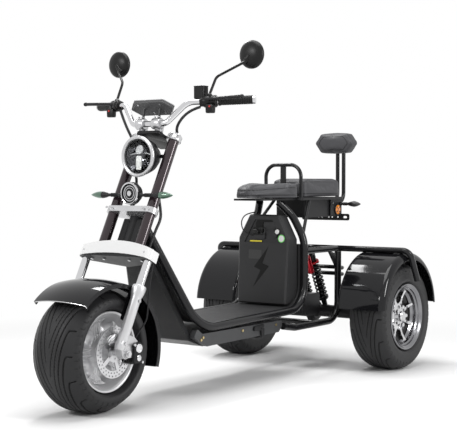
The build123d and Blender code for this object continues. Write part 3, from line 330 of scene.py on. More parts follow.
loom_sleeve = finish("loom_sleeve", (0.016, 0.016, 0.017), roughness=0.36, mottle=0.5, patch=900, grain=1800,
                     bump=0.0003, shine=0.3)


def loom(name, part, points):
    """A cord in a ribbed sleeve, one rib to every third ring of its run."""
    run = run_of(points)
    ribbed = swept(run, 0.0054, spacing=0.0013, sides=12, swell=lambda ring: 1 - 0.1 * (ring % 3 == 0))
    piece = place(name, ribbed, "fork", "hose", loom_sleeve, soft=60, part=part)


loom("left_loom_sleeve", "left_loom", [
    bar_middle + Vector((0.192, 0.058, 0.0586)), bar_middle + Vector((0.150, 0.044, 0.048)),
    bar_middle + Vector((0.104, 0.026, -0.008)), on_fork(60, 4, 1092), on_fork(54, 18, 1040),
    on_fork(60, 2, 940), on_fork(64, 0, 840), on_fork(84, 4, 800), on_fork(110, -2, 752),
    on_fork(112, -16, 690),
    on_fork(104, -8, 601.8),
])
loom("right_loom_sleeve", "right_loom", [
    bar_middle + Vector((-0.192, 0.058, 0.0595)), bar_middle + Vector((-0.158, 0.044, 0.006)),
    on_fork(-126, -12, 1059), on_fork(-100, 8, 960), on_fork(-62, 6, 890), on_fork(-56, 6, 820),
    on_fork(-50, -4, 773.6),
])

# ---------------------------------------------------------------- floor and light
# A plain white room: a large lamp overhead, one on the left, and small lamps on the right and
# in front.  The pale floor catches the soft shadow and fades to white further out.
world = bpy.data.worlds.new("white_room")
bpy.context.scene.world = world
world.use_nodes = True
room = world.node_tree
room.nodes.clear()
ray = add_node(room, "ShaderNodeLightPath").outputs
glancing = add_node(room, "ShaderNodeMath", {0: ray["Is Glossy Ray"], 1: ray["Is Transmission Ray"]},
                    operation="MAXIMUM")
seen = add_node(room, "ShaderNodeMath", {0: ray["Is Camera Ray"], 1: glancing.outputs[0]},
                operation="MAXIMUM")
brightness = add_node(room, "ShaderNodeMapRange", {"To Min": 0.42, "To Max": 1.0, "Value": seen.outputs[0]})
sky = add_node(room, "ShaderNodeBackground",
               {"Color": (1, 1, 1, 1), "Strength": brightness.outputs["Result"]})
add_node(room, "ShaderNodeOutputWorld", {"Surface": sky.outputs[0]})

floor = in_scene("floor",
                 mesh_of("floor", [(-30, -30, 0), (30, -30, 0), (30, 30, 0), (-30, 30, 0)], [(0, 1, 2, 3)]))
floor_paint = bpy.data.materials.new("floor_paint")
floor_paint.use_nodes = True
tree = floor_paint.node_tree
tree.nodes.clear()
where = add_node(tree, "ShaderNodeTexCoord")
away = add_node(tree, "ShaderNodeVectorMath", {0: where.outputs["Object"]}, operation="LENGTH")
fade = add_node(tree, "ShaderNodeMapRange",
                {"From Min": 1.25, "From Max": 2.6, "Value": away.outputs["Value"]},
                interpolation_type="SMOOTHSTEP")
pale = add_node(tree, "ShaderNodeBsdfDiffuse", {"Color": (0.93, 0.93, 0.93, 1)})
white = add_node(tree, "ShaderNodeEmission", {"Color": (1, 1, 1, 1), "Strength": 1})
blend = add_node(tree, "ShaderNodeMixShader",
                 {"Fac": fade.outputs["Result"], 1: pale.outputs[0], 2: white.outputs[0]})
add_node(tree, "ShaderNodeOutputMaterial", {"Surface": blend.outputs[0]})
floor.data.materials.append(floor_paint)


def soft_light(name, place, target, size, power):
    """A rectangular soft light aimed at a point."""
    lamp = bpy.data.lights.new(name, "AREA")
    lamp.shape = "RECTANGLE"
    lamp.size, lamp.size_y = size
    lamp.energy = power
    aim_from(in_scene(name, lamp), place, Vector(target) - Vector(place))


soft_light("overhead_light", (0.2, -0.2, 3.2), (0, 0, 0.4), (1.6, 2.4), 56)
soft_light("left_light", (3.0, 0.2, 1.7), (0, 0, 0.6), (0.5, 1.3), 44)
soft_light("right_light", (-1.1, 0.6, 2.5), (0.38, 0.6, 0.45), (0.8, 0.5), 24)
soft_light("front_light", (-0.9, -3.3, 2.2), (0, -0.2, 0.6), (1.2, 0.5), 36)
bpy.context.scene.view_settings.view_transform = "Standard"

# ---------------------------------------------------------------- tyres
# Low, wide pneumatic tyres of black rubber.  The tread is moulded with long grooves that leave
# the middle in a V, run almost round the tyre and hook out over the shoulder.
def stepped_line(line, step_at):
    """The same run with points at a wanted spacing."""
    line = np.array([tuple(point) for point in line])
    lengths = np.concatenate([[0], np.cumsum(np.hypot(*np.diff(line, axis=0).T))])
    stops = [0.0]
    while stops[-1] < lengths[-1] - 1e-6:
        radius = np.interp(stops[-1], lengths, line[:, 1])
        stops.append(min(stops[-1] + step_at(radius), lengths[-1]))
    stops = np.array(stops)
    return np.column_stack([np.interp(stops, lengths, line[:, 0]),
                            np.interp(stops, lengths, line[:, 1])]), stops


def ring_mesh(name, across, outward, centre, order=(0, 1, 2)):
    """A closed ring swept about a wheel's axle from grids of sideways place and radius."""
    around, along = across.shape
    angle = np.linspace(0, 2 * pi, around, endpoint=False)[:, None]
    spots = np.stack([across, -outward * np.cos(angle), outward * np.sin(angle)], axis=-1).reshape(-1, 3)
    spots = spots[:, order] / 1000 + np.array(tuple(centre))
    row, column = np.meshgrid(np.arange(around), np.arange(along), indexing="ij")
    ahead, beside = (row + 1) % around, (column + 1) % along
    quads = np.stack([row * along + column, ahead * along + column, ahead * along + beside,
                      row * along + beside], axis=-1).reshape(-1, 4)
    return mesh_of(name, spots.tolist(), quads.tolist())


tyre_rubber = finish("tyre_rubber", (0.018, 0.018, 0.019), mottle=0.2, patch=18, spread=0.08, grain=700,
                     bump=0.0003, shine=0.3)
rubber_tree = tyre_rubber.node_tree
# The grooves, dashes and notches are mixed toward near black: painted shade in the tread's recesses.
painted_groove_shade_mask = add_node(rubber_tree, "ShaderNodeAttribute", attribute_name="groove")
painted_groove_shade = add_node(rubber_tree, "ShaderNodeMix", data_type="RGBA")
give(rubber_tree, painted_groove_shade, {
    "A": rubber_tree.nodes["Group"].outputs["Colour"], "B": (0.006, 0.006, 0.006, 1),
    "Factor": painted_groove_shade_mask.outputs["Fac"],
})
give(rubber_tree, rubber_tree.nodes["Principled BSDF"], {"Base Color": painted_groove_shade.outputs["Result"]})


def climb(value, start, width):
    """Climbs from nothing to one over a width."""
    return np.clip((value - start) / width, 0, 1)


def fall(value, end, width):
    """Drops from one to nothing at an end."""
    return np.clip((end - value) / width, 0, 1)


def eased(share):
    """Eases a share in and out."""
    return share * share * (3 - 2 * share)


def cut_within(distance, half_width, blur):
    """One inside a cut of this half width and nothing outside, blurred at its edge."""
    return np.clip((half_width - distance) / blur + 0.5, 0, 1)


def tread_marks(side, angle, radius, half, grooves):
    """How strongly each point is cut by the long grooves, by the dashes and by the shoulder's notches."""
    edge = half * 0.9
    foot, period, sipes = edge * 1.06, 2 * pi / grooves, 3 * grooves
    reach = np.abs(side)[None, :]
    # A groove's slope against the tyre's run: steep from the middle, flat where it hooks over the shoulder.
    far, steep, flat = np.linspace(0, 130, 521), 5.4, 0.10
    slant = steep * (1 - eased(climb(far, edge * 0.66, edge * 0.16))) + flat
    swept_by = np.concatenate([[0], np.cumsum((slant[1:] + slant[:-1]) / 2 * np.diff(far))]) / radius
    across_line = np.sqrt(1 + np.interp(reach, far, slant) ** 2)
    lag = (side[None, :] > 0) * period / 2
    gap = (angle - np.interp(reach, far, swept_by) - lag + period / 2) % period - period / 2
    width = np.interp(reach, [5, 20, edge * 0.7, edge], [0.7, 1.7, 2.1, 2.0])
    deep = cut_within(np.abs(gap) * radius / across_line, width, 1.1)
    deep = deep * climb(reach, 4, 2) * fall(reach, edge * 1.04, 3)
    # Short dashes run half way between the grooves.
    half_gap = (gap + period) % period - period / 2
    fine = cut_within(np.abs(half_gap) * radius / across_line, 0.9, 0.9)
    dashes = np.clip(np.sin(angle * grooves * 9) * 3 + 0.5, 0, 1)
    fine = fine * dashes * climb(reach, 8, 3) * fall(reach, edge * 0.55, 4)
    # Each notch on the shoulder is a short line with a toe at its lower end.
    along = (angle + 0.6 * period) % (2 * pi / sipes) - pi / sipes
    toe = climb(reach, foot + 15, 1.5) * fall(reach, foot + 20, 1.5) * (np.abs(along * radius - 5) < 6.4)
    line = cut_within(np.abs(along) * radius, 1.4, 1.2) * climb(reach, foot, 2) * fall(reach, foot + 18, 2)
    return deep, fine, np.maximum(line, toe)


def tread_tyre(name, part, body, centre, radius, half, drop, crown_share, turns=430, grooves=14):
    """A closed tyre: a tread carved into its outer run and a plain inner wall, mirrored at its middle."""
    bead, bead_foot, rim_edge, wall = 72, 124, 142.3, 9
    groove_depth, dash_depth, notch_depth, ridge_height = 4.2, 1.4, 1.8, 0.8
    tread_step, wall_step = 2.1, 4.6
    corners = [(bead, bead_foot), (bead, rim_edge), (half, 154), (half, radius - drop),
               (half * crown_share, radius)]
    corners += [(-x, r) for x, r in corners[::-1]]
    outer, stops = stepped_line(rounded_line(corners, [4, 10, 26, 60, 60, 26, 10, 4]),
                                lambda r: tread_step if r > radius - 46 else wall_step)
    inner = [(half * crown_share, radius - 10), (half - wall, radius - drop - 6), (half - wall, 160),
             (bead - wall, 146), (bead - wall, bead_foot)]
    inner = np.array([(-x, r) for x, r in inner[::-1]] + inner)
    side = stops - stops[-1] / 2
    angle = np.linspace(0, 2 * pi, turns, endpoint=False)[:, None]
    deep, fine, notch = tread_marks(side, angle, radius, half, grooves)
    carved = np.maximum(np.maximum(groove_depth * deep, dash_depth * fine), notch_depth * notch)
    ridge = np.exp(-((outer[:, 1] - 163) / 1.6) ** 2) + np.exp(-((outer[:, 1] - 156) / 1.4) ** 2)
    along = np.gradient(outer, axis=0)
    along /= np.linalg.norm(along, axis=1)[:, None]
    inward = np.column_stack([along[:, 1], -along[:, 0]])
    inward *= np.where(inward[:, 1:2] * np.sign(outer[:, 1:2] - 100) > 0, -1, 1)
    walls = np.abs(side) > stops[-1] / 2 - 60
    inward[walls, 0] = -np.sign(side[walls])
    push = carved - ridge_height * ridge[None, :]
    across = outer[None, :, 0] + push * inward[None, :, 0]
    outward = outer[None, :, 1] + push * np.minimum(inward[None, :, 1], 0)
    mesh = ring_mesh(name, np.hstack([across, np.repeat(inner[None, :, 0], turns, 0)]),
                     np.hstack([outward, np.repeat(inner[None, :, 1], turns, 0)]), centre)
    # How much painted shade each point takes, most in the grooves, dashes and notches.
    mask = mesh.attributes.new("groove", "FLOAT", "POINT")
    shade = np.hstack([np.maximum(np.maximum(deep, 0.7 * fine), 0.8 * notch), np.zeros((turns, len(inner)))])
    mask.data.foreach_set("value", shade.astype(np.float32).ravel())
    place(name, facing_out(mesh, merge=False), body, "tyre", tyre_rubber, soft=50, part=part)


rear_y, rear_z, rear_x = 0.7184, 0.227, 0.386
tread_tyre("front_tread_tyre", "front_tyre", "front_wheel", front_axle, 216, 107, 36, 0.48)
for name, part, body, side in (
    ("left_tread_tyre", "rear_left_tyre", "rear_left_wheel", 1),
    ("right_tread_tyre", "rear_right_tyre", "rear_right_wheel", -1),
):
    tread_tyre(name, part, body, (side * rear_x, rear_y, rear_z), 227, 85, 18, 0.56)

# ---------------------------------------------------------------- front rim
# A ten inch rim of cast aluminium, painted bright silver: a stepped barrel and five broad
# spokes with raised edges, with a deep round hollow between each pair.
cast_silver = finish("cast_silver", (0.60, 0.60, 0.61), metallic=0.7, roughness=0.38, mottle=0.05, patch=30,
                     spread=0.05, grain=600, bump=0.00012)
chrome = finish("chrome_plate", (0.62, 0.62, 0.63), metallic=1, roughness=0.05, mottle=0.02, patch=8,
                spread=0.02, grain=300, bump=0.00001)
bolt_steel = finish("bolt_steel", (0.55, 0.55, 0.56), metallic=1, roughness=0.25, mottle=0.1, patch=90,
                    grain=1200, bump=0.00005)


def barrel(half=77.3, flange=142, seat=123.7):
    """A rim's barrel: a lip and a stepped well, mirrored into a closed ring section."""
    lip = [(half + 4, flange - 9), (half + 6, flange - 6), (half + 6, flange - 2), (half + 3, flange),
           (half, flange), (half - 4, flange - 4), (half - 5, seat), (half - 28, seat),
           (half - 38, seat - 11)]
    under = [(half - 36, seat - 18), (half - 27, seat - 9), (half - 14, seat - 7), (half - 9, seat - 1),
             (half - 3, seat + 1), (half, seat + 6)]
    return lip + [(-x, r) for x, r in lip[::-1]] + [(-x, r) for x, r in under[::-1]] + under


def spun(name, outline, centre, around=128):
    """A ring whose section is the same all round."""
    across, outward = (np.repeat(row[None, :], around, 0) for row in np.array(outline, float).T)
    return ring_mesh(name, across, outward, centre)


def joined(name, *meshes):
    """Several closed shells as one mesh, faces outward, material numbers kept."""
    work = bmesh.new()
    for mesh in meshes:
        work.from_mesh(mesh)
    bmesh.ops.recalc_face_normals(work, faces=work.faces)
    whole = bpy.data.meshes.new(name)
    work.to_mesh(whole)
    work.free()
    return whole


def web(name, centre, radii, front_x, back_x, around=300):
    """A wheel's centre: a face and a back whose depth is given at each radius and angle."""
    angle = np.linspace(0, 2 * pi, around, endpoint=False)[:, None]
    across = np.hstack([front_x(angle, radii[None, :]), back_x(angle, radii[None, :])[:, ::-1]])
    outward = np.repeat(np.concatenate([radii, radii[::-1]])[None, :], around, 0)
    return ring_mesh(name, across, outward, centre)


def five_spokes(angle, radius):
    """Height of the cast face: a dish with a round, ledged bowl between spokes and two ribs on each."""
    swing, bowl_at, bowl_r, ledge_r = 2 * pi / 5, 86, 31, 33.5
    aside = (angle + swing / 2) % swing - swing / 2
    across = np.abs(np.sin(aside)) * radius
    between = angle % swing - swing / 2
    off_bowl = np.hypot(radius * np.cos(between) - bowl_at, radius * np.sin(between))
    bowl = np.clip(1 - (off_bowl / bowl_r) ** 2, 0, 1) ** 0.8
    ledge = np.exp(-(((off_bowl - ledge_r) / 2.6) ** 2))
    reach = climb(radius, 44, 8) * fall(radius, 113, 5)
    ridges = np.exp(-(((across - 6) / 2.8) ** 2)) + np.exp(-(((across - 17) / 2.8) ** 2))
    dish = np.interp(radius, [30, 60, 100, 114], [45, 40, 45, 52])
    return dish - 24 * bowl + reach * (1.6 * ledge + 3.2 * ridges * (1 - bowl))


rim_radii = np.concatenate([[30], np.linspace(32.5, 114, 46)])
front_rim = joined(
    "front_cast_rim",
    spun("front_barrel", barrel(), front_axle, 160),
    web("front_web", front_axle, rim_radii, five_spokes,
        lambda angle, radius: -five_spokes(angle + pi / 5, radius) * 0.2 - 6),
    spun("front_hub", [(66, 8), (66, 24), (60, 30), (-60, 30), (-66, 24), (-66, 8)], front_axle, 64),
    spun("disc_seat", [(101.7, 8), (101.7, 23), (96, 24), (64, 24), (64, 8)], front_axle, 64),
)
place("front_cast_rim", front_rim, "front_wheel", "front_rim", cast_silver, soft=50, part="front_rim")

# ---------------------------------------------------------------- brake disc
# A drilled disc of ground stainless steel on a five-armed carrier, held by five bolts.
disc_steel = finish("ground_disc_steel", (0.56, 0.56, 0.57), metallic=1, roughness=0.3, mottle=0.08, patch=60,
                    spread=0.08, grain=1400, bump=0.00004)
paint("brake_disc", disc_steel)


def set_on_points(name, made_from, *given_sockets):
    """A tree that sets one made thing on every point, along the point's own aim."""
    tree = bpy.data.node_groups.new(name, "GeometryNodeTree")
    sockets(tree, "INPUT", ("Spots", "Geometry"), *given_sockets, ("Finish", "Material"))
    sockets(tree, "OUTPUT", ("Made", "Geometry"))
    given = add_node(tree, "NodeGroupInput").outputs
    aim = add_node(tree, "GeometryNodeInputNamedAttribute", data_type="FLOAT_VECTOR")
    give(tree, aim, {"Name": "aim"})
    turn = add_node(tree, "FunctionNodeAlignRotationToVector", {"Vector": aim.outputs["Attribute"]}, axis="Z")
    stand = add_node(tree, "GeometryNodeInstanceOnPoints", {
        "Points": given["Spots"], "Instance": made_from(tree, given), "Rotation": turn.outputs["Rotation"],
    })
    real = add_node(tree, "GeometryNodeRealizeInstances", {"Geometry": stand.outputs["Instances"]})
    coat = add_node(tree, "GeometryNodeSetMaterial",
                    {"Geometry": real.outputs["Geometry"], "Material": given["Finish"]})
    add_node(tree, "NodeGroupOutput", {"Made": coat.outputs["Geometry"]})
    return tree


def head(tree, given):
    """A bolt head's cylinder."""
    return add_node(tree, "GeometryNodeMeshCylinder", {
        "Vertices": given["Sides"], "Radius": given["Head Radius"], "Depth": given["Head Height"],
    }).outputs["Mesh"]


bolt_heads = set_on_points("bolt_heads", head, ("Head Radius", "Float"), ("Head Height", "Float"),
                           ("Sides", "Int"))


def through_nodes(name, mesh, tree, body, slot, soft=30, **given):
    """Runs a mesh through a node tree and keeps the plain mesh that comes out."""
    holder = in_scene(name + "_made", mesh)
    modifier = holder.modifiers.new("made", "NODES")
    modifier.node_group = tree
    keys = {item.name: item.identifier for item in tree.interface.items_tree if item.in_out == "INPUT"}
    for key, value in given.items():
        modifier[keys[key.replace("_", " ")]] = value
    bpy.context.view_layer.update()
    graph = bpy.context.evaluated_depsgraph_get()
    made = bpy.data.meshes.new_from_object(holder.evaluated_get(graph), depsgraph=graph)
    bpy.data.objects.remove(holder)
    made.name = name
    return place(name, made, body, slot, soft=soft)


def aimed(name, spots, aims):
    """Bare points that each keep a direction."""
    mesh = mesh_of(name, [tuple(spot) for spot in spots])
    kept = mesh.attributes.new("aim", "FLOAT_VECTOR", "POINT")
    kept.data.foreach_set("vector", [c for aim in aims for c in aim])
    return mesh


def bolts(name, spots, body, slot, material, radius=0.006, height=0.004, sides=6):
    """Bolt heads at (point, direction) pairs, in metres."""
    aims = [Vector(aim).normalized() for _, aim in spots]
    sunk = [Vector(spot) + aim * height * 0.3 for (spot, _), aim in zip(spots, aims)]
    return through_nodes(name, aimed(name + "_spots", sunk, aims), bolt_heads, body, slot, Head_Radius=radius,
                         Head_Height=height, Sides=sides, Finish=material)


def round_axle(centre, x, radius, count=5):
    """Spots in a circle about a wheel's axle, in metres."""
    turns = [k * 2 * pi / count for k in range(count)]
    return [Vector(centre) + Vector((x, radius * cos(turn), radius * sin(turn))) for turn in turns]


disc_bolt_spots = [(spot, (1, 0, 0)) for spot in round_axle(front_axle, 0.106, 0.024)]
bolts("brake_disc_bolts", disc_bolt_spots, "front_wheel", "disc", bolt_steel, 0.0045, 0.003)

# ---------------------------------------------------------------- rear rims
# Chromed ten inch rims with eight windows painted black inside, a polished lip and five
# hexagon lug nuts round the hub cap.
window_black = finish("window_black", (0.008, 0.008, 0.008), roughness=0.22, bump=0.00002, shine=0.3)
dull_chrome = finish("dull_chrome", (0.22, 0.22, 0.23), metallic=1, roughness=0.2, mottle=0.05, patch=20,
                     grain=300, bump=0.00002)


def turned(outline, origin, axis, around=48):
    """A closed shape turned about an axis, from (along, radius) millimetres."""
    axis = Vector(axis).normalized()
    side = axis.orthogonal().normalized()
    other = axis.cross(side)
    spots = []
    for step in range(around):
        turn = 2 * pi * step / around
        spoke = side * cos(turn) + other * sin(turn)
        spots += [Vector(origin) + axis * along / 1000 + spoke * radius / 1000 for along, radius in outline]
    count = len(outline)
    faces = []
    for step in range(around):
        here, ahead = step * count, (step + 1) % around * count
        faces += [(here + k, ahead + k, ahead + (k + 1) % count, here + (k + 1) % count)
                  for k in range(count)]
    return facing_out(mesh_of("turned", spots, faces))


def eight_windows(angle, radius):
    """How far a place lies inside a window, in millimetres, below zero outside."""
    swing, spoke_half, inner_end, outer_end, round_off = 2 * pi / 8, 6.5, 58, 116, 9
    aside = np.abs((angle + swing / 2) % swing - swing / 2)
    across, along = np.sin(aside) * radius, np.cos(aside) * radius
    slope = np.tan(swing / 2)
    off_spoke = (along * slope - spoke_half - across) / np.hypot(1, slope)
    off_ends = np.minimum(along - inner_end, outer_end - along)
    corner = np.hypot(np.maximum(round_off - off_spoke, 0), np.maximum(round_off - off_ends, 0))
    return np.minimum(np.minimum(off_spoke, off_ends), round_off - corner)


def rear_rim(name, part, body, side):
    """A dished disc with sunk windows in its barrel, with a hub, a cap and lug nuts."""
    centre = Vector((side * rear_x, rear_y, rear_z))

    def face(angle, radius):
        dish = np.interp(radius, [22, 46, 58, 90, 112, 119, 124], [44, 43, 40, 42, 50, 56, 58])
        return side * (dish - 12 * eased(climb(eight_windows(angle, radius), 0, 3)))

    def back(angle, radius):
        return side * np.full_like(angle * radius, 27.0)

    radii = np.concatenate([np.linspace(22, 60, 9), np.linspace(62, 116, 37), [119, 122, 124.5]])
    disc = web("disc", centre, radii, face, back, 400)
    ring = spun("rim_barrel", barrel(), centre, 160)
    for mesh in (disc, ring):
        for material in (chrome, window_black, dull_chrome):
            mesh.materials.append(material)
    for polygon in disc.polygons:
        where = (polygon.center - centre) * 1000
        far, turn = hypot(where.y, where.z), atan2(where.z, -where.y)
        polygon.material_index = int(abs(where.x) > 28 and eight_windows(turn, far) > 0.4)
    nuts = [turned([(50, 0), (50, 9), (58, 9), (60, 7), (60, 0)], spot, (side, 0, 0), 6)
            for spot in round_axle(centre, 0, 0.040)]
    cap = turned([(44, 0), (44, 23), (62, 23), (66, 19), (67, 0)], centre, (side, 0, 0))
    hub = turned([(-46, 0), (-46, 34), (30, 34), (30, 0)], centre, (side, 0, 0))
    for polygon in ring.polygons:
        polygon.material_index = 2
    mesh = joined(name, disc, ring, cap, hub, *nuts)
    place(name, mesh, body, "rear_rim", chrome, window_black, dull_chrome, soft=30, part=part)


rear_rim("left_chrome_rim", "rear_left_rim", "rear_left_wheel", 1)
rear_rim("right_chrome_rim", "rear_right_rim", "rear_right_wheel", -1)

# ---------------------------------------------------------------- frame
# Bent steel tubes welded and painted gloss black: two long rails that sweep down from the
# steering head, along the deck and up behind the battery, with the tail frame and rack.
gloss_black = finish("gloss_black_paint", (0.009, 0.009, 0.010), roughness=0.16, mottle=0.1, patch=12,
                     spread=0.04, grain=260, bump=0.00006, shine=0.3)
satin_black = finish("satin_black_paint", (0.014, 0.014, 0.015), roughness=0.38, patch=20, grain=500,
                     bump=0.0001, shine=0.2)
grey_steel = finish("grey_steel_paint", (0.050, 0.051, 0.053), roughness=0.36, patch=14, spread=0.07,
                    grain=420, bump=0.00012, shine=0.3)
for part in ("frame_rails", "rear_rack", "rear_subframe", "grab_hoop", "backrest_posts"):
    paint(part, gloss_black)
for part in ("steering_head", "seat_frame", "rear_axle"):
    paint(part, satin_black)

# ---------------------------------------------------------------- deck, cowl and side beams
# The deck is a bent plate under a ribbed rubber mat.  The moulded cowl closes the front of
# the frame and the pressed side beams carry bolts and the folded stand peg.
mat_rubber = finish("deck_mat", (0.026, 0.026, 0.027), mottle=0.2, patch=14, spread=0.1, grain=700,
                    bump=0.0003, shine=0.25)
patterned(mat_rubber, "ShaderNodeTexWave", 26, 0.003, wave_type="BANDS", bands_direction="X")
paint("footboard", mat_rubber)
cowl_plastic = finish("cowl_plastic", (0.020, 0.020, 0.021), roughness=0.34, mottle=0.2, patch=20,
                      spread=0.08, grain=500, bump=0.0001, shine=0.25)
patterned(cowl_plastic, "ShaderNodeTexChecker", 240, 0.0004)
paint("front_cowl", cowl_plastic)
paint("side_beams", grey_steel)

beam_bolts = [((0.1463, -0.30, 0.222), (1, 0, 0)), ((0.1463, -0.312, 0.214), (1, 0, 0)),
              ((0.1463, -0.045, 0.222), (1, 0, 0)), ((0.1463, 0.190, 0.222), (1, 0, 0))]
brass_bolt = finish("brass_bolt", (0.55, 0.44, 0.22), metallic=1, roughness=0.3, mottle=0.1, patch=90,
                    grain=1200, bump=0.00005)
bolts("left_beam_bolts", beam_bolts, "frame", "frame_grey", brass_bolt, 0.0055, 0.004)
bolts("right_beam_bolts", [((-x, y, z), (-1, 0, 0)) for (x, y, z), _ in beam_bolts], "frame", "frame_grey",
      brass_bolt, 0.0055, 0.004)


def slab(outline, origin, across, up, thick, bevel=0.0, steps=2):
    """A plate raised from an outline of (across, up) millimetres, its edges rounded."""
    across, up = Vector(across).normalized(), Vector(up).normalized()
    work = bmesh.new()
    corners = [work.verts.new(Vector(origin) + across * x / 1000 + up * y / 1000) for x, y in outline]
    base = work.faces.new(corners)
    raised = bmesh.ops.extrude_face_region(work, geom=[base])["geom"]
    shift = across.cross(up) * thick / 1000
    bmesh.ops.translate(work, verts=[item for item in raised if isinstance(item, bmesh.types.BMVert)],
                        vec=shift)
    if bevel:
        bmesh.ops.bevel(work, geom=list(work.edges), offset=bevel / 1000, segments=steps, profile=0.5,
                        affect="EDGES")
    bmesh.ops.recalc_face_normals(work, faces=work.faces)
    mesh = bpy.data.meshes.new("slab")
    work.to_mesh(mesh)
    work.free()
    return mesh


def rounded_loop(corners, bend, steps=5):
    """A closed outline with every corner rounded alike."""
    corners = [Vector(corner) for corner in corners]
    start = (corners[-1] + corners[0]) / 2
    return [tuple(spot) for spot in rounded_line([start, *corners, start], [bend] * len(corners), steps)[:-1]]


def oblong(wide, tall, bend, middle=(0, 0)):
    """A rectangle's outline with rounded corners."""
    x, y = wide / 2, tall / 2
    return [(middle[0] + a, middle[1] + b)
            for a, b in rounded_loop([(-x, -y), (x, -y), (x, y), (-x, y)], bend)]


peg = joined(
    "peg",
    slab(rounded_loop([(-34, -9), (30, -13), (36, 0), (30, 13), (-34, 9)], 6), (0.147, 0.062, 0.222),
         (0, 1, 0), (0, 0.25, 1), 7, 1.6),
    slab(rounded_loop([(-8, -34), (10, -30), (12, 6), (-12, 6)], 4), (0.150, 0.086, 0.214), (0, 1, 0),
         (0, 0, 1), 5, 1.4),
)
place("folded_peg", peg, "frame", "frame_black", satin_black)

# ---------------------------------------------------------------- battery
# A lift-out battery in a grained dark grey plastic case, with a sunk handle at the top, the
# charging plug, a white switch, a green-edged disc and a plain dark bolt on its face.
battery_case = finish("battery_case", (0.024, 0.024, 0.025), roughness=0.42, mottle=0.12, patch=9, grain=380,
                      bump=0.0006, shine=0.25)
paint("battery_box", battery_case)
battery_across = Vector((1, 0, 0))
battery_up = Vector((0, sin(battery_lean), cos(battery_lean)))
dark_film = finish("dark_film", (0.006, 0.006, 0.006), roughness=0.3, bump=0.00002, shine=0.15)
black_plastic = finish("black_plastic", (0.010, 0.010, 0.010), roughness=0.32, patch=60, grain=700,
                       bump=0.0001, shine=0.2)
white_plastic = finish("white_plastic", (0.75, 0.75, 0.74), roughness=0.3, mottle=0.03, bump=0.00003)
green_edge = finish("green_edge", (0.16, 0.62, 0.13), roughness=0.35, mottle=0.03, bump=0.00003)
yellow_film = finish("yellow_film", (0.70, 0.58, 0.02), roughness=0.4, mottle=0.03, bump=0.00003)
grey_film = finish("grey_film", (0.05, 0.05, 0.05), roughness=0.4, mottle=0.1, bump=0.00003, shine=0.2)


def on_face(outline, thick, out=0.0, bevel=0.0):
    """A plate on the battery's front, drawn in millimetres across and up it."""
    return slab(outline, on_battery(0, 0, out), battery_across, battery_up, thick, bevel)


for name, outline, thick, film in (
    ("battery_bolt", [(29, 243), (-41, 156), (-7, 143), (-43, 69), (35, 161), (2, 173)], 0.5, dark_film),
    ("battery_yellow_bar", [(-66, 262), (-5, 262), (-5, 268), (-66, 268)], 0.4, yellow_film),
    ("battery_grey_patch", [(-70, 190), (-5, 190), (-5, 228), (-70, 228)], 0.3, grey_film),
):
    place(name, on_face(outline, thick), "frame", "battery", film)
recess_panel = joined(
    "recess",
    on_face(oblong(98, 12, 4, (14, 352)), 1.2, -2.6),
    on_face(oblong(50, 34, 5, (-24, 308)), 9, -4, 2),
    on_face(rounded_loop([(-40, 318), (-6, 318), (-2, 348), (-40, 348)], 5), 2, -4),
)
place("battery_dark_parts", recess_panel, "frame", "battery", dark_film)
place("battery_handle_block", on_face(oblong(60, 32, 5, (30, 330)), 4, -4, 1.4), "frame", "battery",
      battery_case)
socket_line = rounded_loop([(-18, 296), (10, 296), (10, 320), (-18, 320)], 4) + [(-4, 296)]
socket_rim = swept([on_battery(x, y, 5.2) for x, y in socket_line], 0.0011, sides=8)
place("battery_socket_rim", socket_rim, "frame", "battery", grey_film)
plug = turned([(0, 0), (0, 9), (4, 10), (26, 9), (34, 5), (34, 0)], on_battery(-14, 303, 8), (-1, 0, 0.18),
              32)
place("battery_plug", plug, "frame", "battery", black_plastic)
off_battery = Vector((0, -cos(battery_lean), sin(battery_lean)))
switch_spot, disc_spot = on_battery(72, 306, 0), on_battery(93, 278, 0)
for name, outline, spot, plastic in (
    ("battery_switch_ring", [(-4, 0), (-4, 14), (2, 14), (3, 12), (3, 0)], switch_spot, dark_film),
    ("battery_switch", [(2, 0), (2, 10.5), (4.5, 9.5), (5, 0)], switch_spot, white_plastic),
    ("battery_green_ring", [(0, 13), (0, 16.5), (0.8, 16.5), (0.8, 13)], disc_spot, green_edge),
    ("battery_pale_disc", [(0, 0), (0, 13), (0.6, 13), (0.6, 0)], disc_spot, white_plastic),
):
    place(name, turned(outline, spot, off_battery), "frame", "battery", plastic)

# ---------------------------------------------------------------- seats and backrest
# Foam cushions under stretched black leatherette, sewn with a seam round the top panel and
# stapled to flat boards below.
leather = finish("black_leatherette", (0.011, 0.011, 0.012), roughness=0.34, patch=40, spread=0.08, grain=320,
                 bump=0.00005, shine=0.2)


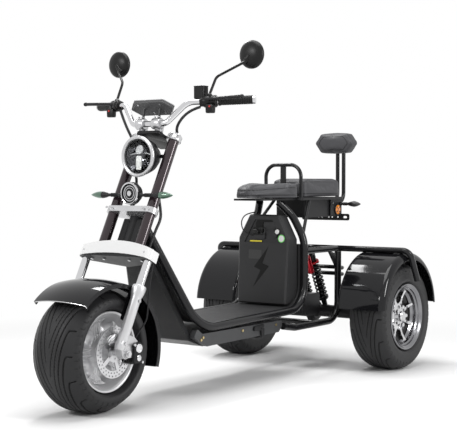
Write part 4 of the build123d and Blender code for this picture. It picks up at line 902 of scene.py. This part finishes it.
def cushion(name, part, pinned, carve=None, puff=0.006, inset=0.003):
    """A stuffed cover grown from the plain form, held where it is fixed and blown up as sewn cloth."""
    holder = in_scene(name + "_form", nodes[part].data.copy())
    holder.matrix_world = nodes[part].matrix_world
    grid = holder.modifiers.new("grid", "REMESH")
    grid.mode = "VOXEL"
    grid.voxel_size = 0.0055
    graph = bpy.context.evaluated_depsgraph_get()
    form = bpy.data.meshes.new_from_object(holder.evaluated_get(graph), depsgraph=graph)
    form.transform(holder.matrix_world)
    bpy.data.objects.remove(holder)
    work = bmesh.new()
    work.from_mesh(form)
    bmesh.ops.smooth_vert(work, verts=work.verts, factor=0.5, use_axis_x=True, use_axis_y=True,
                          use_axis_z=True)
    work.normal_update()
    for vertex in work.verts:
        vertex.co -= vertex.normal * inset
        if carve:
            vertex.co = carve(vertex.co)
    work.to_mesh(form)
    work.free()
    start = np.array([tuple(vertex.co) for vertex in form.vertices])
    cloth_piece = in_scene(name, form)
    held = cloth_piece.vertex_groups.new(name="held")
    held.add([index for index, spot in enumerate(start) if pinned(spot)], 1.0, "REPLACE")
    cloth = cloth_piece.modifiers.new("cover", "CLOTH")
    cloth.settings.vertex_group_mass = "held"
    cloth.settings.use_pressure = True
    cloth.settings.uniform_pressure_force = 4
    cloth.settings.effector_weights.gravity = 0
    cloth.settings.quality = 5
    cloth.collision_settings.use_collision = False
    cloth.point_cache.frame_start, cloth.point_cache.frame_end = 1, 20
    for frame_number in range(1, 21):
        bpy.context.scene.frame_set(frame_number)
    graph = bpy.context.evaluated_depsgraph_get()
    blown = bpy.data.meshes.new_from_object(cloth_piece.evaluated_get(graph), depsgraph=graph)
    moved = np.array([tuple(vertex.co) for vertex in blown.vertices]) - start
    far = np.linalg.norm(moved, axis=1)[:, None]
    moved *= np.minimum(1, puff / np.maximum(far, 1e-9))
    cloth_piece.modifiers.clear()
    cloth_piece.vertex_groups.clear()
    bpy.context.scene.frame_set(1)
    form.vertices.foreach_set("co", (start + moved).ravel())
    finer = cloth_piece.modifiers.new("finer", "SUBSURF")
    finer.levels = finer.render_levels = 1
    graph = bpy.context.evaluated_depsgraph_get()
    mesh = bpy.data.meshes.new_from_object(cloth_piece.evaluated_get(graph), depsgraph=graph)
    bpy.data.objects.remove(cloth_piece)
    mesh.name = name
    piece = place(name, mesh, "frame", "seat", leather, soft=80, part=part)
    return piece


def seam(name, piece, spots, aims, radius=0.0014, sink=0.3):
    """Piping laid on a cushion where rays from outside meet it."""
    tree = BVHTree.FromObject(piece, bpy.context.evaluated_depsgraph_get())
    line = []
    for spot, aim in zip(spots, aims):
        hit, normal, _, _ = tree.ray_cast(Vector(spot), Vector(aim).normalized())
        if hit is not None:
            line.append(hit - normal * radius * sink)
    line.append(line[0])
    place(name, swept(line, radius, sides=8), "frame", "seat", leather, soft=60)


def saddle(spot):
    """The rider's form narrowed and lowered to a round nose, with its top hollowed between the thighs."""
    nose = min(1, max(0, (0.300 - spot[1]) / 0.165))
    high = min(1, max(0, (spot[2] - 0.742) / 0.05))
    middle = 1 - min(1, abs(spot[0]) / 0.12) ** 2
    return Vector((spot[0] * (1 - 0.30 * nose ** 1.6), spot[1],
                   spot[2] - high * (0.016 * nose ** 1.5 + 0.010 * middle * (1 - nose))))


rider = cushion("rider_cushion", "rider_seat", lambda spot: spot[2] < 0.742, saddle)
passenger = cushion("passenger_cushion", "passenger_seat", lambda spot: spot[2] < 0.745)
backrest = cushion("backrest_cushion", "backrest_pad", lambda spot: spot[1] > 0.928)


def band_seam(name, piece, middle_y, reach_x, reach_y, height, tilt=0.0, radius=0.0014):
    """A seam right round a cushion at a height, which may rise toward its back."""
    spots, aims = [], []
    for turn in np.linspace(0, 2 * pi, 120, endpoint=False):
        middle = Vector((0, middle_y, height + tilt * sin(turn)))
        out = Vector((reach_x * cos(turn), reach_y * sin(turn), 0))
        spots.append(middle + out)
        aims.append(-out)
    seam(name, piece, spots, aims, radius)


band_seam("rider_top_seam", rider, 0.300, 0.24, 0.272, 0.776, tilt=0.008)
band_seam("rider_low_seam", rider, 0.300, 0.24, 0.272, 0.748, radius=0.0018)
band_seam("passenger_top_seam", passenger, 0.656, 0.192, 0.288, 0.803)
band_seam("passenger_low_seam", passenger, 0.656, 0.192, 0.288, 0.752, radius=0.0018)
inset_line = [Vector(spot) for spot in rounded_loop(
    [(-78, 0), (-52, -30), (52, -30), (78, 0), (52, 30), (-52, 30)], 12, 8)]
inset_spots = []
for one, two in zip(inset_line, inset_line[1:] + inset_line[:1]):
    inset_spots += [one.lerp(two, share) for share in (0, 0.25, 0.5, 0.75)]
seam("backrest_seam", backrest, [(spot.x / 1000, 0.80, 0.981 + spot.y / 1000) for spot in inset_spots],
     [(0, 1, 0)] * len(inset_spots))

# ---------------------------------------------------------------- under the rear seat
# A black pressed box and side plates hang below the rear seat with the rear signals, a round
# amber reflector on each side and a drilled bracket for a plate.
paint("under_seat_box", satin_black)
bolts("seat_box_bolts", [((0.086, 0.738, 0.708), (1, 0, 0)), ((-0.086, 0.738, 0.708), (-1, 0, 0))], "frame",
      "frame_black", bolt_steel, 0.005, 0.003)
amber = finish("amber_reflector", (0.80, 0.24, 0.01), roughness=0.18, mottle=0.1, patch=200, coat=0.6,
               bump=0.00005)
for number, side in both_sides:
    middle = Vector((side * 0.0865, 0.777, 0.679))
    shell = turned([(0, 0), (0, 25), (3, 25), (5, 23), (5, 21), (2, 20), (2, 0)], middle, (side, 0, 0), 64)
    place(f"reflector_shell_{number}", shell, "frame", "frame_black", satin_black)
    face = turned([(1, 0), (1, 20.5), (4, 20.5), (4.8, 18), (5.4, 0)], middle, (side, 0, 0), 64)
    place(f"reflector_{number}", face, "frame", "signal", amber)
    on_glass = middle + Vector((side * 0.0052, 0, 0))
    wedges = []
    for turn in [pi / 4 + k * pi / 2 for k in range(4)]:
        tips = [(17 * cos(turn + aside), 17 * sin(turn + aside)) for aside in (-0.16, 0.16)]
        wedges.append(slab([(0, 0), *tips], on_glass, (0, side, 0), (0, 0, 1), 0.7))
    place(f"reflector_star_{number}", joined("star", *wedges), "frame", "frame_black", dark_film)

signal_glass = finish("green_signal_lens", (0.07, 0.15, 0.10), metallic=0.4, roughness=0.08, mottle=0.5,
                      patch=60, spread=0.05, grain=200, coat=1)
smoked_lens = finish("smoked_lens", (0.05, 0.05, 0.05), roughness=0.12, mottle=0.3, patch=60, bump=0.00005,
                     shine=0.3)


def signal(name, part, body, middle, side, start, lens_start, tip, lens):
    """A stalk with a ribbed rubber joint and a pointed lens that tapers to a tip."""
    reach = lens_start - start
    ribs = [(0, 0), (0, 8), (5, 9), (9, 6)]
    for k in range(5):
        at = reach * 0.35 + k * reach * 0.1
        ribs += [(at, 5.2), (at + 1.5, 7.4), (at + 3.5, 7.4), (at + 5, 5.2)]
    ribs += [(reach - 2, 6), (reach + 14, 10.5), (reach + 26, 12.4), (reach + 30, 12.4), (reach + 30, 0)]
    origin = Vector(middle) + Vector((side * start / 1000, 0, 0))
    place(f"{name}_stalk", turned(ribs, origin, (side, 0, 0), 32), body, "control_black", satin_black,
          part=part)
    span = tip - lens_start
    glass = [(lens_start - start + 24, 0), (lens_start - start + 24, 12)]
    glass += [(lens_start - start + share * span, 13 * sin(pi * min(1, 0.5 + (share - 0.42) * 0.86)) ** 0.8)
              for share in np.linspace(0.42, 0.99, 12)]
    glass.append((tip - start, 0))
    place(f"{name}_lens", turned(glass, origin, (side, 0, 0), 32), body, "signal", lens, part=part)


signal("rear_left_signal", "rear_turn_signals", "frame", (0, 0.804, 0.704), 1, 86.5, 128, 192, smoked_lens)
signal("rear_right_signal", "rear_turn_signals", "frame", (0, 0.804, 0.704), -1, 86.5, 128, 192, smoked_lens)

# ---------------------------------------------------------------- rear fenders
# Deep fenders over the rear wheels, moulded in gloss black with a rolled bead at each edge.
fender_black = finish("fender_gloss", (0.006, 0.006, 0.007), roughness=0.06, mottle=0.05, patch=8,
                      spread=0.02, grain=120, bump=0.00003, shine=0.3)
paint("rear_fenders", fender_black)


def arc_about(centre, radius, x, first, last, steps=64):
    """Points on an arc about a wheel's axle, by angle up from straight ahead, in degrees."""
    return [Vector(centre) + Vector((x, -radius * cos(radians(a)), radius * sin(radians(a))))
            for a in np.linspace(first, last, steps)]


fender_middle = (0, rear_y, 0.252)
for number, side in both_sides:
    for edge, x, radius in (("inner", 0.268, 0.2375), ("outer", 0.485, 0.222)):
        start = np.degrees(np.arcsin(0.022 / radius))
        bead = swept(arc_about(fender_middle, radius, side * x, start, 180 - start), 0.0024, sides=10)
        place(f"fender_{edge}_bead_{number}", bead, "frame", "fender", gloss_black)

# ---------------------------------------------------------------- shock absorbers and motor
# Two coil-over shocks with black springs, red collars and red gas reservoirs, and a finned
# motor case bolted ahead of the axle.
red_anodised = finish("red_anodised", (0.50, 0.010, 0.022), metallic=0.75, roughness=0.25, mottle=0.08,
                      patch=40, bump=0.00005, coat=0.2)
spring_black = finish("spring_black", (0.012, 0.012, 0.013), roughness=0.22, mottle=0.1, patch=40,
                      bump=0.00005, shine=0.3)
shock_foot, shock_head = Vector((0.038, 0.7604, 0.236)), Vector((0.038, 0.6234, 0.5117))


def coil(tree, given):
    """A wire wound round an axis into a spring."""
    run = add_node(tree, "GeometryNodeCurveSpiral", {
        "Resolution": 36, "Rotations": given["Turns"], "Start Radius": given["Coil Radius"],
        "End Radius": given["Coil Radius"], "Height": given["Coil Height"],
    })
    wire = add_node(tree, "GeometryNodeCurvePrimitiveCircle",
                    {"Resolution": 12, "Radius": given["Wire Radius"]})
    return add_node(tree, "GeometryNodeCurveToMesh", {
        "Curve": run.outputs["Curve"], "Profile Curve": wire.outputs["Curve"], "Fill Caps": True,
    }).outputs["Mesh"]


coil_spring = set_on_points("coil_spring", coil, ("Turns", "Float"), ("Coil Radius", "Float"),
                            ("Coil Height", "Float"), ("Wire Radius", "Float"))
shock_rise = (shock_head - shock_foot).normalized()
for number, side in both_sides:
    foot = Vector((side * shock_foot.x, shock_foot.y, shock_foot.z))
    seat = aimed("spring_seat", [foot + shock_rise * 0.062], [shock_rise])
    spring = through_nodes(f"shock_spring_{number}", seat, coil_spring, "frame", "spring", soft=60, Turns=9.0,
                           Coil_Radius=0.0205, Coil_Height=0.172, Wire_Radius=0.0042, Finish=spring_black)
    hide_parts("shock_absorbers")
    body = joined(
        "shock_body",
        turned([(10, 0), (10, 11), (50, 13), (50, 24), (53, 25), (60, 25), (60, 13), (150, 12), (150, 0)],
               foot, shock_rise),
        turned([(150, 0), (150, 8), (236, 8), (236, 13), (262, 15), (276, 15), (284, 9), (298, 8), (298, 0)],
               foot, shock_rise),
    )
    place(f"shock_body_{number}", body, "frame", "frame_black", spring_black, part="shock_absorbers")
    collar = turned([(234, 9), (234, 22), (236, 24), (241, 24), (243, 22), (243, 9)], foot, shock_rise)
    place(f"shock_collar_{number}", collar, "frame", "red_anodised", red_anodised, part="shock_absorbers")
    eyes = [turned([(-9, 5.5), (-9, 12), (-7, 14), (7, 14), (9, 12), (9, 5.5)], spot, (1, 0, 0), 32)
            for spot in (foot, Vector((foot.x, shock_head.y, shock_head.z)))]
    place(f"shock_eyes_{number}", joined("eyes", *eyes), "frame", "cast_silver", bolt_steel,
          part="shock_absorbers")
paint("shock_reservoirs", red_anodised)
motor_case = finish("motor_case", (0.030, 0.030, 0.032), metallic=0.3, roughness=0.36, mottle=0.2, patch=30,
                    grain=600, shine=0.25)
paint("motor_block", motor_case)
motor_y, motor_z, fin_stretch = 0.602, 0.265, 1.86
fins = [
    turned([(-1.4, 0), (-1.4, 49), (0, 50), (1.4, 49), (1.4, 0)], (x / 1000, motor_y, motor_z), (1, 0, 0), 4)
    for x in range(-56, 57, 14)
]
for fin in fins:
    for vertex in fin.vertices:
        vertex.co.y = motor_y + (vertex.co.y - motor_y) * fin_stretch
place("motor_fins", joined("fins", *fins), "frame", "motor", motor_case)

# ---------------------------------------------------------------- fork
# Cast silver sliders carry chromed lower tubes into a bridge under a glossy white cover.
# Wide upper tubes, anodised a dark plum, stand on it between a silver yoke and a black crown
# plate with silver clamp rings.
plum = finish("plum_anodised", (0.030, 0.019, 0.023), metallic=0.4, roughness=0.16, mottle=0.06, patch=20,
              spread=0.03, grain=500, bump=0, coat=0.3)
yoke_silver = finish("yoke_silver", (0.56, 0.56, 0.57), metallic=0.75, roughness=0.24, mottle=0.08, patch=30,
                     spread=0.05, grain=420, bump=0.00015)
cover_white = finish("cover_white", (0.80, 0.80, 0.80), roughness=0.1, mottle=0.02, patch=8, grain=100,
                     bump=0.00001, coat=1)
for number, side in both_sides:
    for kind, outline, x, steps, material in (
        ("lower_tube", [(440, 0), (440, 15), (600, 15), (600, 0)], lower_tube_x, 64, chrome),
        ("upper_tube", [(600.2, 0), (600.2, 20), (1046, 20), (1071.8, 20), (1071.8, 0)], upper_tube_x, 64,
         plum),
        ("tube_cap", [(1072, 0), (1072, 22), (1076, 22), (1078, 20), (1078, 9), (1076, 8), (1076, 0)],
         upper_tube_x, 48, yoke_silver),
    ):
        tube = turned(outline, on_fork(side * x, fork_back, 0), steer_up, steps)
        place(f"{kind}_{number}", tube, "fork", "fork_chrome", material, part="fork_tubes")
paint("lower_yoke", yoke_silver)
paint("fork_bridge", satin_black)


def link_outline(one, one_r, two, two_r, steps=14):
    """The outline of two discs joined by straight sides, going round the same way."""
    one, two = Vector(one), Vector(two)
    span = two - one
    lean = atan2(span.y, span.x)
    spread = acos((one_r - two_r) / span.length)
    outline = []
    for middle, radius, first, last in ((one, one_r, lean + spread, lean + 2 * pi - spread),
                                        (two, two_r, lean - spread, lean + spread)):
        for step in range(steps + 1):
            turn = first + (last - first) * step / steps
            outline.append((middle.x + radius * cos(turn), middle.y + radius * sin(turn)))
    return outline


leg_profile = [(236, 0), (236, 16), (240, 18.5), (428, 18.5), (434, 19.5), (446, 23), (460, 25), (470, 25),
               (474, 23.5), (474, 15.3), (441, 15.3), (441, 0)]
axle_spot = (front_axle.y * 1000, front_axle.z * 1000)
lug_spot = on_fork(0, fork_back, 259.6)
ear_spot = on_fork(0, fork_back, 293.6)
for number, side in both_sides:
    x = side * lower_tube_x
    leg = turned(leg_profile, on_fork(x, fork_back, 0), steer_up, 64)
    lug = slab(link_outline(axle_spot, 19, (lug_spot.y * 1000, lug_spot.z * 1000), 15.5),
               (x / 1000 - 0.016, 0, 0), (0, 1, 0), (0, 0, 1), 32, 3)
    pieces = [leg, lug]
    pieces.append(turned([(-19, 0), (-19, 15), (-16, 16), (16, 16), (19, 15), (19, 0)],
                         front_axle + Vector((x / 1000, 0, 0)), (1, 0, 0), 48))
    if side > 0:
        tab = [(ear_spot.y * 1000 - 4, ear_spot.z * 1000 + 12),
               (ear_spot.y * 1000 + 22, ear_spot.z * 1000 + 2),
               (-672, 262), (-660, 250), (-652, 238), (-664, 212), (-676, 190), (-706, 196),
               (axle_spot[0] + 14, axle_spot[1] + 4), (lug_spot.y * 1000, lug_spot.z * 1000 + 4)]
        pieces.append(slab(tab, (0.1248, 0, 0), (0, 1, 0), (0, 0, 1), 7.5, 1.2))
    place(f"slider_{number}", joined("slider", *pieces), "fork", "cast_silver", cast_silver, soft=40,
          part="fork_sliders")

crown_sides = rounded_loop([(-112, -54), (-58, -54), (-52, -98), (52, -98), (58, -54), (112, -54), (112, -26),
                            (40, -26), (26, 26), (-26, 26), (-40, -26), (-112, -26)], 8)
crown = slab(crown_sides, on_fork(0, 0, 1053), (1, 0, 0), steer_back, 12, 2)
place("crown_plate", crown, "fork", "cast_black", satin_black, soft=40, part="top_yoke")
for x in (-upper_tube_x, upper_tube_x):
    ring = turned([(1048, 20.2), (1048, 26), (1050, 28), (1069, 28), (1071.5, 26), (1071.5, 20.2)],
                  on_fork(x, fork_back, 0), steer_up, 48)
    place(f"crown_ring_{1 if x > 0 else 2}", ring, "fork", "cast_black", yoke_silver, soft=40,
          part="top_yoke")
paint("bridge_cover", cover_white)
paint("front_spindle", bolt_steel)
risers = []
for x in (-38, 38):
    risers.append(turned([(1066, 0), (1066, 17), (1074, 16), (1090, 14), (1104, 14), (1104, 0)],
                         on_fork(x, -80, 0), steer_up, 40))
    risers.append(turned([(-19, 11.3), (-19, 19), (-16, 21), (16, 21), (19, 19), (19, 11.3)],
                         bar_middle + Vector((x / 1000, 0, 0)), (1, 0, 0), 40))
place("bar_risers", joined("risers", *risers), "fork", "cast_silver", yoke_silver, part="handlebar_risers")
paint("handlebar", chrome)

slider_bolts = []
for side in (1, -1):
    slider_bolts += [(on_fork(side * 164.5, fork_back, 420), (side, 0, 0)),
                     (on_fork(side * 164, fork_back, 262), (side, 0, 0))]
bolts("slider_bolts", slider_bolts, "fork", "cast_silver", bolt_steel, 0.0062, 0.004)
bolts("lower_yoke_bolts", [(on_fork(x, -73.5, 761), -steer_back) for x in (-98, -74, 74, 98)], "fork",
      "cast_silver", bolt_steel, 0.0045, 0.003)
bolts("cover_bolts", [(on_fork(x, -69.6, 592), -steer_back) for x in (-142, 142)], "fork", "cover",
      bolt_steel, 0.004, 0.002)
bolts("under_cover_bolts", [(on_fork(x, fork_back, 571.5), -steer_up) for x in (-118, -60, 60, 118)], "fork",
      "frame_black", bolt_steel, 0.006, 0.005)

# ---------------------------------------------------------------- handlebar grips and controls
# Ribbed rubber grips, black switch clusters with small coloured buttons, cast brake levers
# with ball tips, and a square brake fluid reservoir under a screwed lid.
bar_knee = bar_middle + Vector((0.148, 0.038, 0.076))
bar_tip = bar_middle + Vector((0.374, 0.142, 0.083))
bar_aim = (bar_tip - bar_knee).normalized()
bar_reach = (bar_tip - bar_knee).length * 1000
grip_rubber = finish("grip_rubber", (0.012, 0.012, 0.012), mottle=0.2, patch=60, shine=0.2)


def mirrored(spot, side):
    """A spot or a direction on the asked side."""
    return Vector((spot[0] * side, spot[1], spot[2]))


grip_outline = [(bar_reach - 132, 11.5), (bar_reach - 132, 17), (bar_reach - 128, 18), (bar_reach - 124, 16)]
for k in range(13):
    at = bar_reach - 121 + k * 8.6
    grip_outline += [(at, 15.9), (at + 0.8, 14.8), (at + 2.2, 14.8), (at + 3, 15.9)]
grip_outline += [(bar_reach - 7, 15.6), (bar_reach - 6, 14), (bar_reach - 6, 11.5)]
paint("hand_controls", black_plastic)
red_button = finish("red_button", (0.45, 0.02, 0.02), roughness=0.35, bump=0.00003)
for number, side in both_sides:
    root, aim = mirrored(bar_knee, side), mirrored(bar_aim, side)
    place(f"grip_{number}", turned(grip_outline, root, aim, 48), "fork", "grip", grip_rubber, soft=50,
          part="grips")
    cluster = joined(
        "cluster",
        turned([(60, 12), (60, 19.5), (64, 21.5), (80, 21.5), (84, 19.5), (84, 12)], root, aim, 48),
        turned([(88, 12), (88, 20), (91, 22.5), (107, 22.5), (110, 20), (110, 12)], root, aim, 48),
        slab(rounded_loop([(-15, -18), (15, -18), (17, 14), (-17, 14)], 5),
             root + aim * 0.099 + Vector((0, -0.012, -0.026)), (side, 0, 0), (0, 0, 1), 20 * side, 2),
    )
    place(f"switches_{number}", cluster, "fork", "control_black", black_plastic)
    lever_root = mirrored(bar_middle + Vector((0.226, 0.058, 0.085)), side)
    lever_tip = mirrored(bar_middle + Vector((0.372, 0.060, 0.090)), side)
    lever_line = [lever_root, lever_root.lerp(lever_tip, 0.3) + Vector((0, -0.004, 0)),
                  lever_root.lerp(lever_tip, 0.7) + Vector((0, -0.004, 0)), lever_tip]
    ball = turned([(-5, 0), (-5, 4), (-2, 7), (3, 8), (8, 6.5), (10, 0)], lever_tip, (side, 0, 0), 24)
    lever = joined("lever", swept(lever_line, 0.0062, bends=0.05), ball)
    place(f"brake_lever_{number}", lever, "fork", "control_black", satin_black)
    button = turned([(0, 0), (0, 4), (2.5, 3.6), (2.5, 0)], root + aim * 0.103 + Vector((0, -0.0335, -0.020)),
                    (0, -1, 0), 20)
    place(f"button_{number}", button, "fork", "control_black", red_button)
    nut = turned([(0, 0), (0, 7.5), (6, 7.5), (6, 0)],
                 mirrored(bar_middle + Vector((0.222, 0.074, 0.100)), side), (0, 0, 1), 6)
    place(f"mirror_nut_{number}", nut, "fork", "control_black", bolt_steel)
lid = slab(oblong(46, 38, 6, (186, 70)), bar_middle + Vector((0, 0, 0.1335)), (1, 0, 0), (0, 1, 0), 2.6, 1)
place("reservoir_lid", lid, "fork", "control_black", black_plastic)
screws = [(bar_middle + Vector((x, y, 0.136)), (0, 0, 1)) for x, y in ((0.169, 0.084), (0.203, 0.056))]
bolts("reservoir_screws", screws, "fork", "control_black", bolt_steel, 0.003, 0.002, 10)
screws = [(on_fork(x, -100 + back, 1110.3), steer_up) for x in (-46, -30, 30, 46) for back in (-15, 15)]
bolts("riser_bolts", screws, "fork", "cast_silver", bolt_steel, 0.0042, 0.004)

# ---------------------------------------------------------------- mirrors and display
# Round mirrors in domed black shells on kneed stems, and a flat six-sided display with a
# pale metal edge and five screws in its face.
paint("mirrors", black_plastic)
mirror_glass = finish("mirror_glass", (0.85, 0.86, 0.88), metallic=1, roughness=0.02, mottle=0.01, patch=5,
                      spread=0.01, grain=50, bump=0.000005)
for number, side in both_sides:
    middle = mirrored(bar_middle + Vector((0.321, 0.197, 0.253)), side)
    dome = [(9.2, 0), (9.2, 49), (7, 52), (1, 52.4), (-3, 51), (-8, 46), (-12, 38), (-15.5, 27), (-17.5, 14),
            (-18, 0)]
    place(f"mirror_shell_{number}", turned(dome, middle, (0, 1, 0), 72), "fork", "control_black",
          black_plastic, soft=40)
    glass = turned([(9.3, 0), (9.3, 47), (10.2, 46), (10.4, 0)], middle, (0, 1, 0), 72)
    place(f"mirror_glass_{number}", glass, "fork", "lens", mirror_glass)
    boot = swept([middle + Vector((0, -0.013, -0.004)), middle + Vector((-side * 0.012, -0.016, -0.020)),
                  middle + Vector((-side * 0.024, -0.012, -0.030))], 0.0085, bends=0.02)
    place(f"mirror_boot_{number}", boot, "fork", "control_black", black_plastic)
display_grey = finish("display_grey", (0.060, 0.060, 0.062), roughness=0.34, mottle=0.1, patch=20, grain=700,
                      bump=0.00015, shine=0.3)
paint("display", display_grey)
display_middle = bar_middle + Vector((0, 0.014, 0.056))
display_out = Vector((0, 0.64, 0.77)).normalized()
display_up = Vector((0, 0.77, -0.64)).normalized()


def on_display(x, y, out):
    """A point on the display: across, up its slope and out of its face, in millimetres."""
    return display_middle + Vector((x, 0, 0)) / 1000 + display_up * -y / 1000 + display_out * out / 1000


display_outline = [(-100, 0), (-68, -35), (68, -35), (100, 0), (68, 35), (-68, 35)]
edge_line = rounded_loop([(x * 1.004, y * 1.01) for x, y in display_outline], 5)
edge_run = [on_display(x, y, 13) for x, y in edge_line]
place("display_edge", swept(edge_run + edge_run[:1], 0.0015, sides=8), "fork", "cast_silver", yoke_silver)
screws = [(-52, -22), (0, -24), (52, -22), (-52, 22), (52, 22)]
screws = [(on_display(x, y, 0), -display_out) for x, y in screws]
bolts("display_screws", screws, "fork", "control_black", bolt_steel, 0.0034, 0.002, 12)
screen = slab(oblong(88, 44, 6), on_display(0, 0, 14), (1, 0, 0), display_up, 0.6, 0.2)
place("display_screen", screen, "fork", "lens",
      finish("screen_glass", (0.01, 0.012, 0.015), roughness=0.06, coat=1, mottle=0.02, bump=0.00001))

# ---------------------------------------------------------------- headlight and horn
# A round headlight with a silver bezel, a clear domed glass and a smooth, shallowly fluted bowl
# that is tinted near black as a painted dark reflection, with a white plate in it that is a painted
# bright reflection, in a black bucket.  The horn below it is a disc of chromed and black rings.
light_middle = Vector((0, -0.4926, 0.896))
bezel = turned([(0, 62.5), (0, 74), (4, 76), (9, 76), (12.5, 73.5), (13.5, 69), (12, 65), (8, 62.5)],
               light_middle, (0, -1, 0), 96)
place("headlight_bezel", bezel, "fork", "fork_chrome", yoke_silver, soft=60, part="headlight_rim")
paint("headlight_bucket", satin_black)
# Metal tinted near black: a painted dark reflection in the bowl.
bowl = finish("reflector_painted_dark", (0.07, 0.07, 0.075), metallic=1, roughness=0.12, mottle=0, patch=40, spread=0,
              grain=200, bump=0)


def bowl_mesh():
    """A mirrored bowl of flutes with a thin wall, deepest at its middle."""
    around, radii = 240, np.linspace(9, 60, 24)
    angle = np.linspace(0, 2 * pi, around, endpoint=False)[:, None]
    plain = 40 * (1 - (radii / 61) ** 2)
    depth = plain + 0.5 * np.abs(np.sin(angle * 8)) * climb(radii, 14, 20)
    depth = np.hstack([depth, np.repeat(plain[None, ::-1] + 2.5, around, 0)])
    spread = np.repeat(np.concatenate([radii, radii[::-1]])[None, :], around, 0)
    return facing_out(ring_mesh("bowl", depth, spread, light_middle, order=(1, 0, 2)))


place("headlight_bowl", bowl_mesh(), "fork", "lens", bowl)
# A white plate from the bowl's middle downward: a painted bright reflection in the bowl.
painted_reflection_plate = slab(rounded_loop([(-13, 2), (-13, -30), (-8, -50), (12, -50), (14, -30), (12, 2)], 6),
            light_middle + Vector((0, 0.004, 0)), (1, 0, 0), (0, 0.10, 1), 3, 1)
place("headlight_painted_reflection", painted_reflection_plate, "fork", "lens",
      finish("painted_reflection_white", (0.85, 0.85, 0.83), roughness=0.15, mottle=0.02, bump=0.00001, coat=0.5))
shade = joined(
    "shade",
    turned([(0, 0), (0, 17), (2, 17), (2, 0)], light_middle + Vector((0, 0.006, 0.024)), (0, -1, 0.25), 40),
    swept([light_middle + Vector((x, 0.012, 0.016 - abs(x) * 0.2)) for x in (-0.052, -0.02, 0.02, 0.052)],
          0.0025, sides=8),
)
place("headlight_shade", shade, "fork", "fork_chrome", yoke_silver)
clear_glass = finish("clear_glass", (0.98, 0.99, 0.99), roughness=0.02, mottle=0, spread=0, patch=4, grain=20,
                     bump=0)
give(clear_glass.node_tree, clear_glass.node_tree.nodes["Principled BSDF"],
     {"Transmission Weight": 1, "IOR": 1.15})
glass = turned([(3, 0), (3, 62), (6, 62), (9, 48), (11, 28), (12, 0)], light_middle, (0, -1, 0), 96)
place("headlight_glass", glass, "fork", "lens", clear_glass, part="headlight_lens")

horn_middle = Vector((0, -0.5476, 0.761))
horn_black = turned([(-38, 0), (-38, 32), (-22, 33), (-22, 41), (-2, 41), (0, 39), (0, 35), (-4, 33),
                     (-4, 14), (-1, 12), (-1, 0)], horn_middle, (0, -1, 0), 72)
horn_rings = joined(
    "rings",
    turned([(-3, 34.5), (2, 35.5), (3, 38), (1, 40.8), (-3, 41.2)], horn_middle, (0, -1, 0), 72),
    turned([(-5, 25), (-1.5, 26), (-1.5, 28.5), (-5, 29.5)], horn_middle, (0, -1, 0), 72),
    turned([(-5, 17.5), (-1, 18.5), (-1, 20.5), (-5, 21.5)], horn_middle, (0, -1, 0), 72),
    turned([(-2, 0), (-2, 10.5), (1.5, 9.5), (2.5, 0)], horn_middle, (0, -1, 0), 48),
)
strap = swept([horn_middle + Vector((0, 0.040, 0.012)), horn_middle + Vector((0, 0.042, -0.030)),
               on_fork(0, -52, 773)], 0.004, bends=0.012, sides=10)
place("horn_body", horn_black, "fork", "cast_black", satin_black, part="horn")
place("horn_rings", horn_rings, "fork", "fork_chrome", chrome, part="horn")
place("horn_strap", strap, "fork", "cast_black", satin_black, part="horn")
signal_middle = horn_middle + Vector((0, 0.010, -0.006))
signal("front_left_signal", "front_turn_signals", "fork", signal_middle, 1, 41.3, 108, 195, signal_glass)
signal("front_right_signal", "front_turn_signals", "fork", signal_middle, -1, 41.3, 108, 195, signal_glass)

# ---------------------------------------------------------------- front fender and brake
# The front fender is pressed steel in gloss black with a rolled lip, whose highlight is painted
# as a bright metal strip along its front edge.  The hydraulic caliper clamps the drilled disc
# from a bracket on the left slider.
paint("front_fender", fender_black)
# Bright polished metal for the strip on the lip: a painted highlight.
painted_lip_highlight = finish("lip_painted_highlight", (0.60, 0.60, 0.60), metallic=1, roughness=0.18, mottle=0.05, patch=60,
                    bump=0.00002)
for number, side in both_sides:
    lip = swept(arc_about(front_axle, 0.2235, side * 0.118, 48, 199), 0.0022, sides=10)
    place(f"front_fender_bead_{number}", lip, "fork", "fender", gloss_black)
lip_turn = radians(48)


def lip_spot(x, far):
    """A point at the front fender's lip, across and out from the axle, in millimetres."""
    return front_axle + Vector((x, -far * cos(lip_turn), far * sin(lip_turn))) / 1000


# A thin bright strip round the fender's front edge: the lip's painted highlight.
bulged = [lip_spot(x, 236 + 12.5 * (1 - (x / 118) ** 2) - 1.5) for x in np.linspace(-118, 118, 33)]
front_edge = [lip_spot(-118, 224), *bulged, lip_spot(118, 224)]
place("front_fender_lip_highlight", swept(front_edge, 0.002, sides=10), "fork", "fender", painted_lip_highlight)
paint("brake_caliper", satin_black)
half_body = slab(rounded_loop([(-24, -36), (22, -36), (28, -10), (28, 24), (10, 38), (-20, 34)], 9),
                 (0.1325, -0.6676, 0.208), (0, 1, 0), (0, 0, 1), 12, 3)
place("caliper_half", half_body, "fork", "cast_black", satin_black)
caliper_middle = Vector((0.1447, -0.6676, 0.208))
caps = joined(
    "caps",
    turned([(-1, 0), (-1, 15), (1, 16), (3, 15), (3, 11), (1.5, 10), (1.5, 0)],
           caliper_middle + Vector((0, 0.002, 0.016)), (1, 0, 0), 40),
    turned([(-1, 0), (-1, 11), (2, 11), (3, 9), (3, 0)], caliper_middle + Vector((0, 0.002, -0.018)),
           (1, 0, 0), 40),
)
place("caliper_caps", caps, "fork", "cast_silver", chrome)
screws = [(caliper_middle + Vector((0, y, z)), (1, 0, 0)) for y, z in ((-0.020, 0.030), (0.020, -0.034))]
bolts("caliper_bolts", screws, "fork", "cast_black", bolt_steel, 0.0052, 0.004)
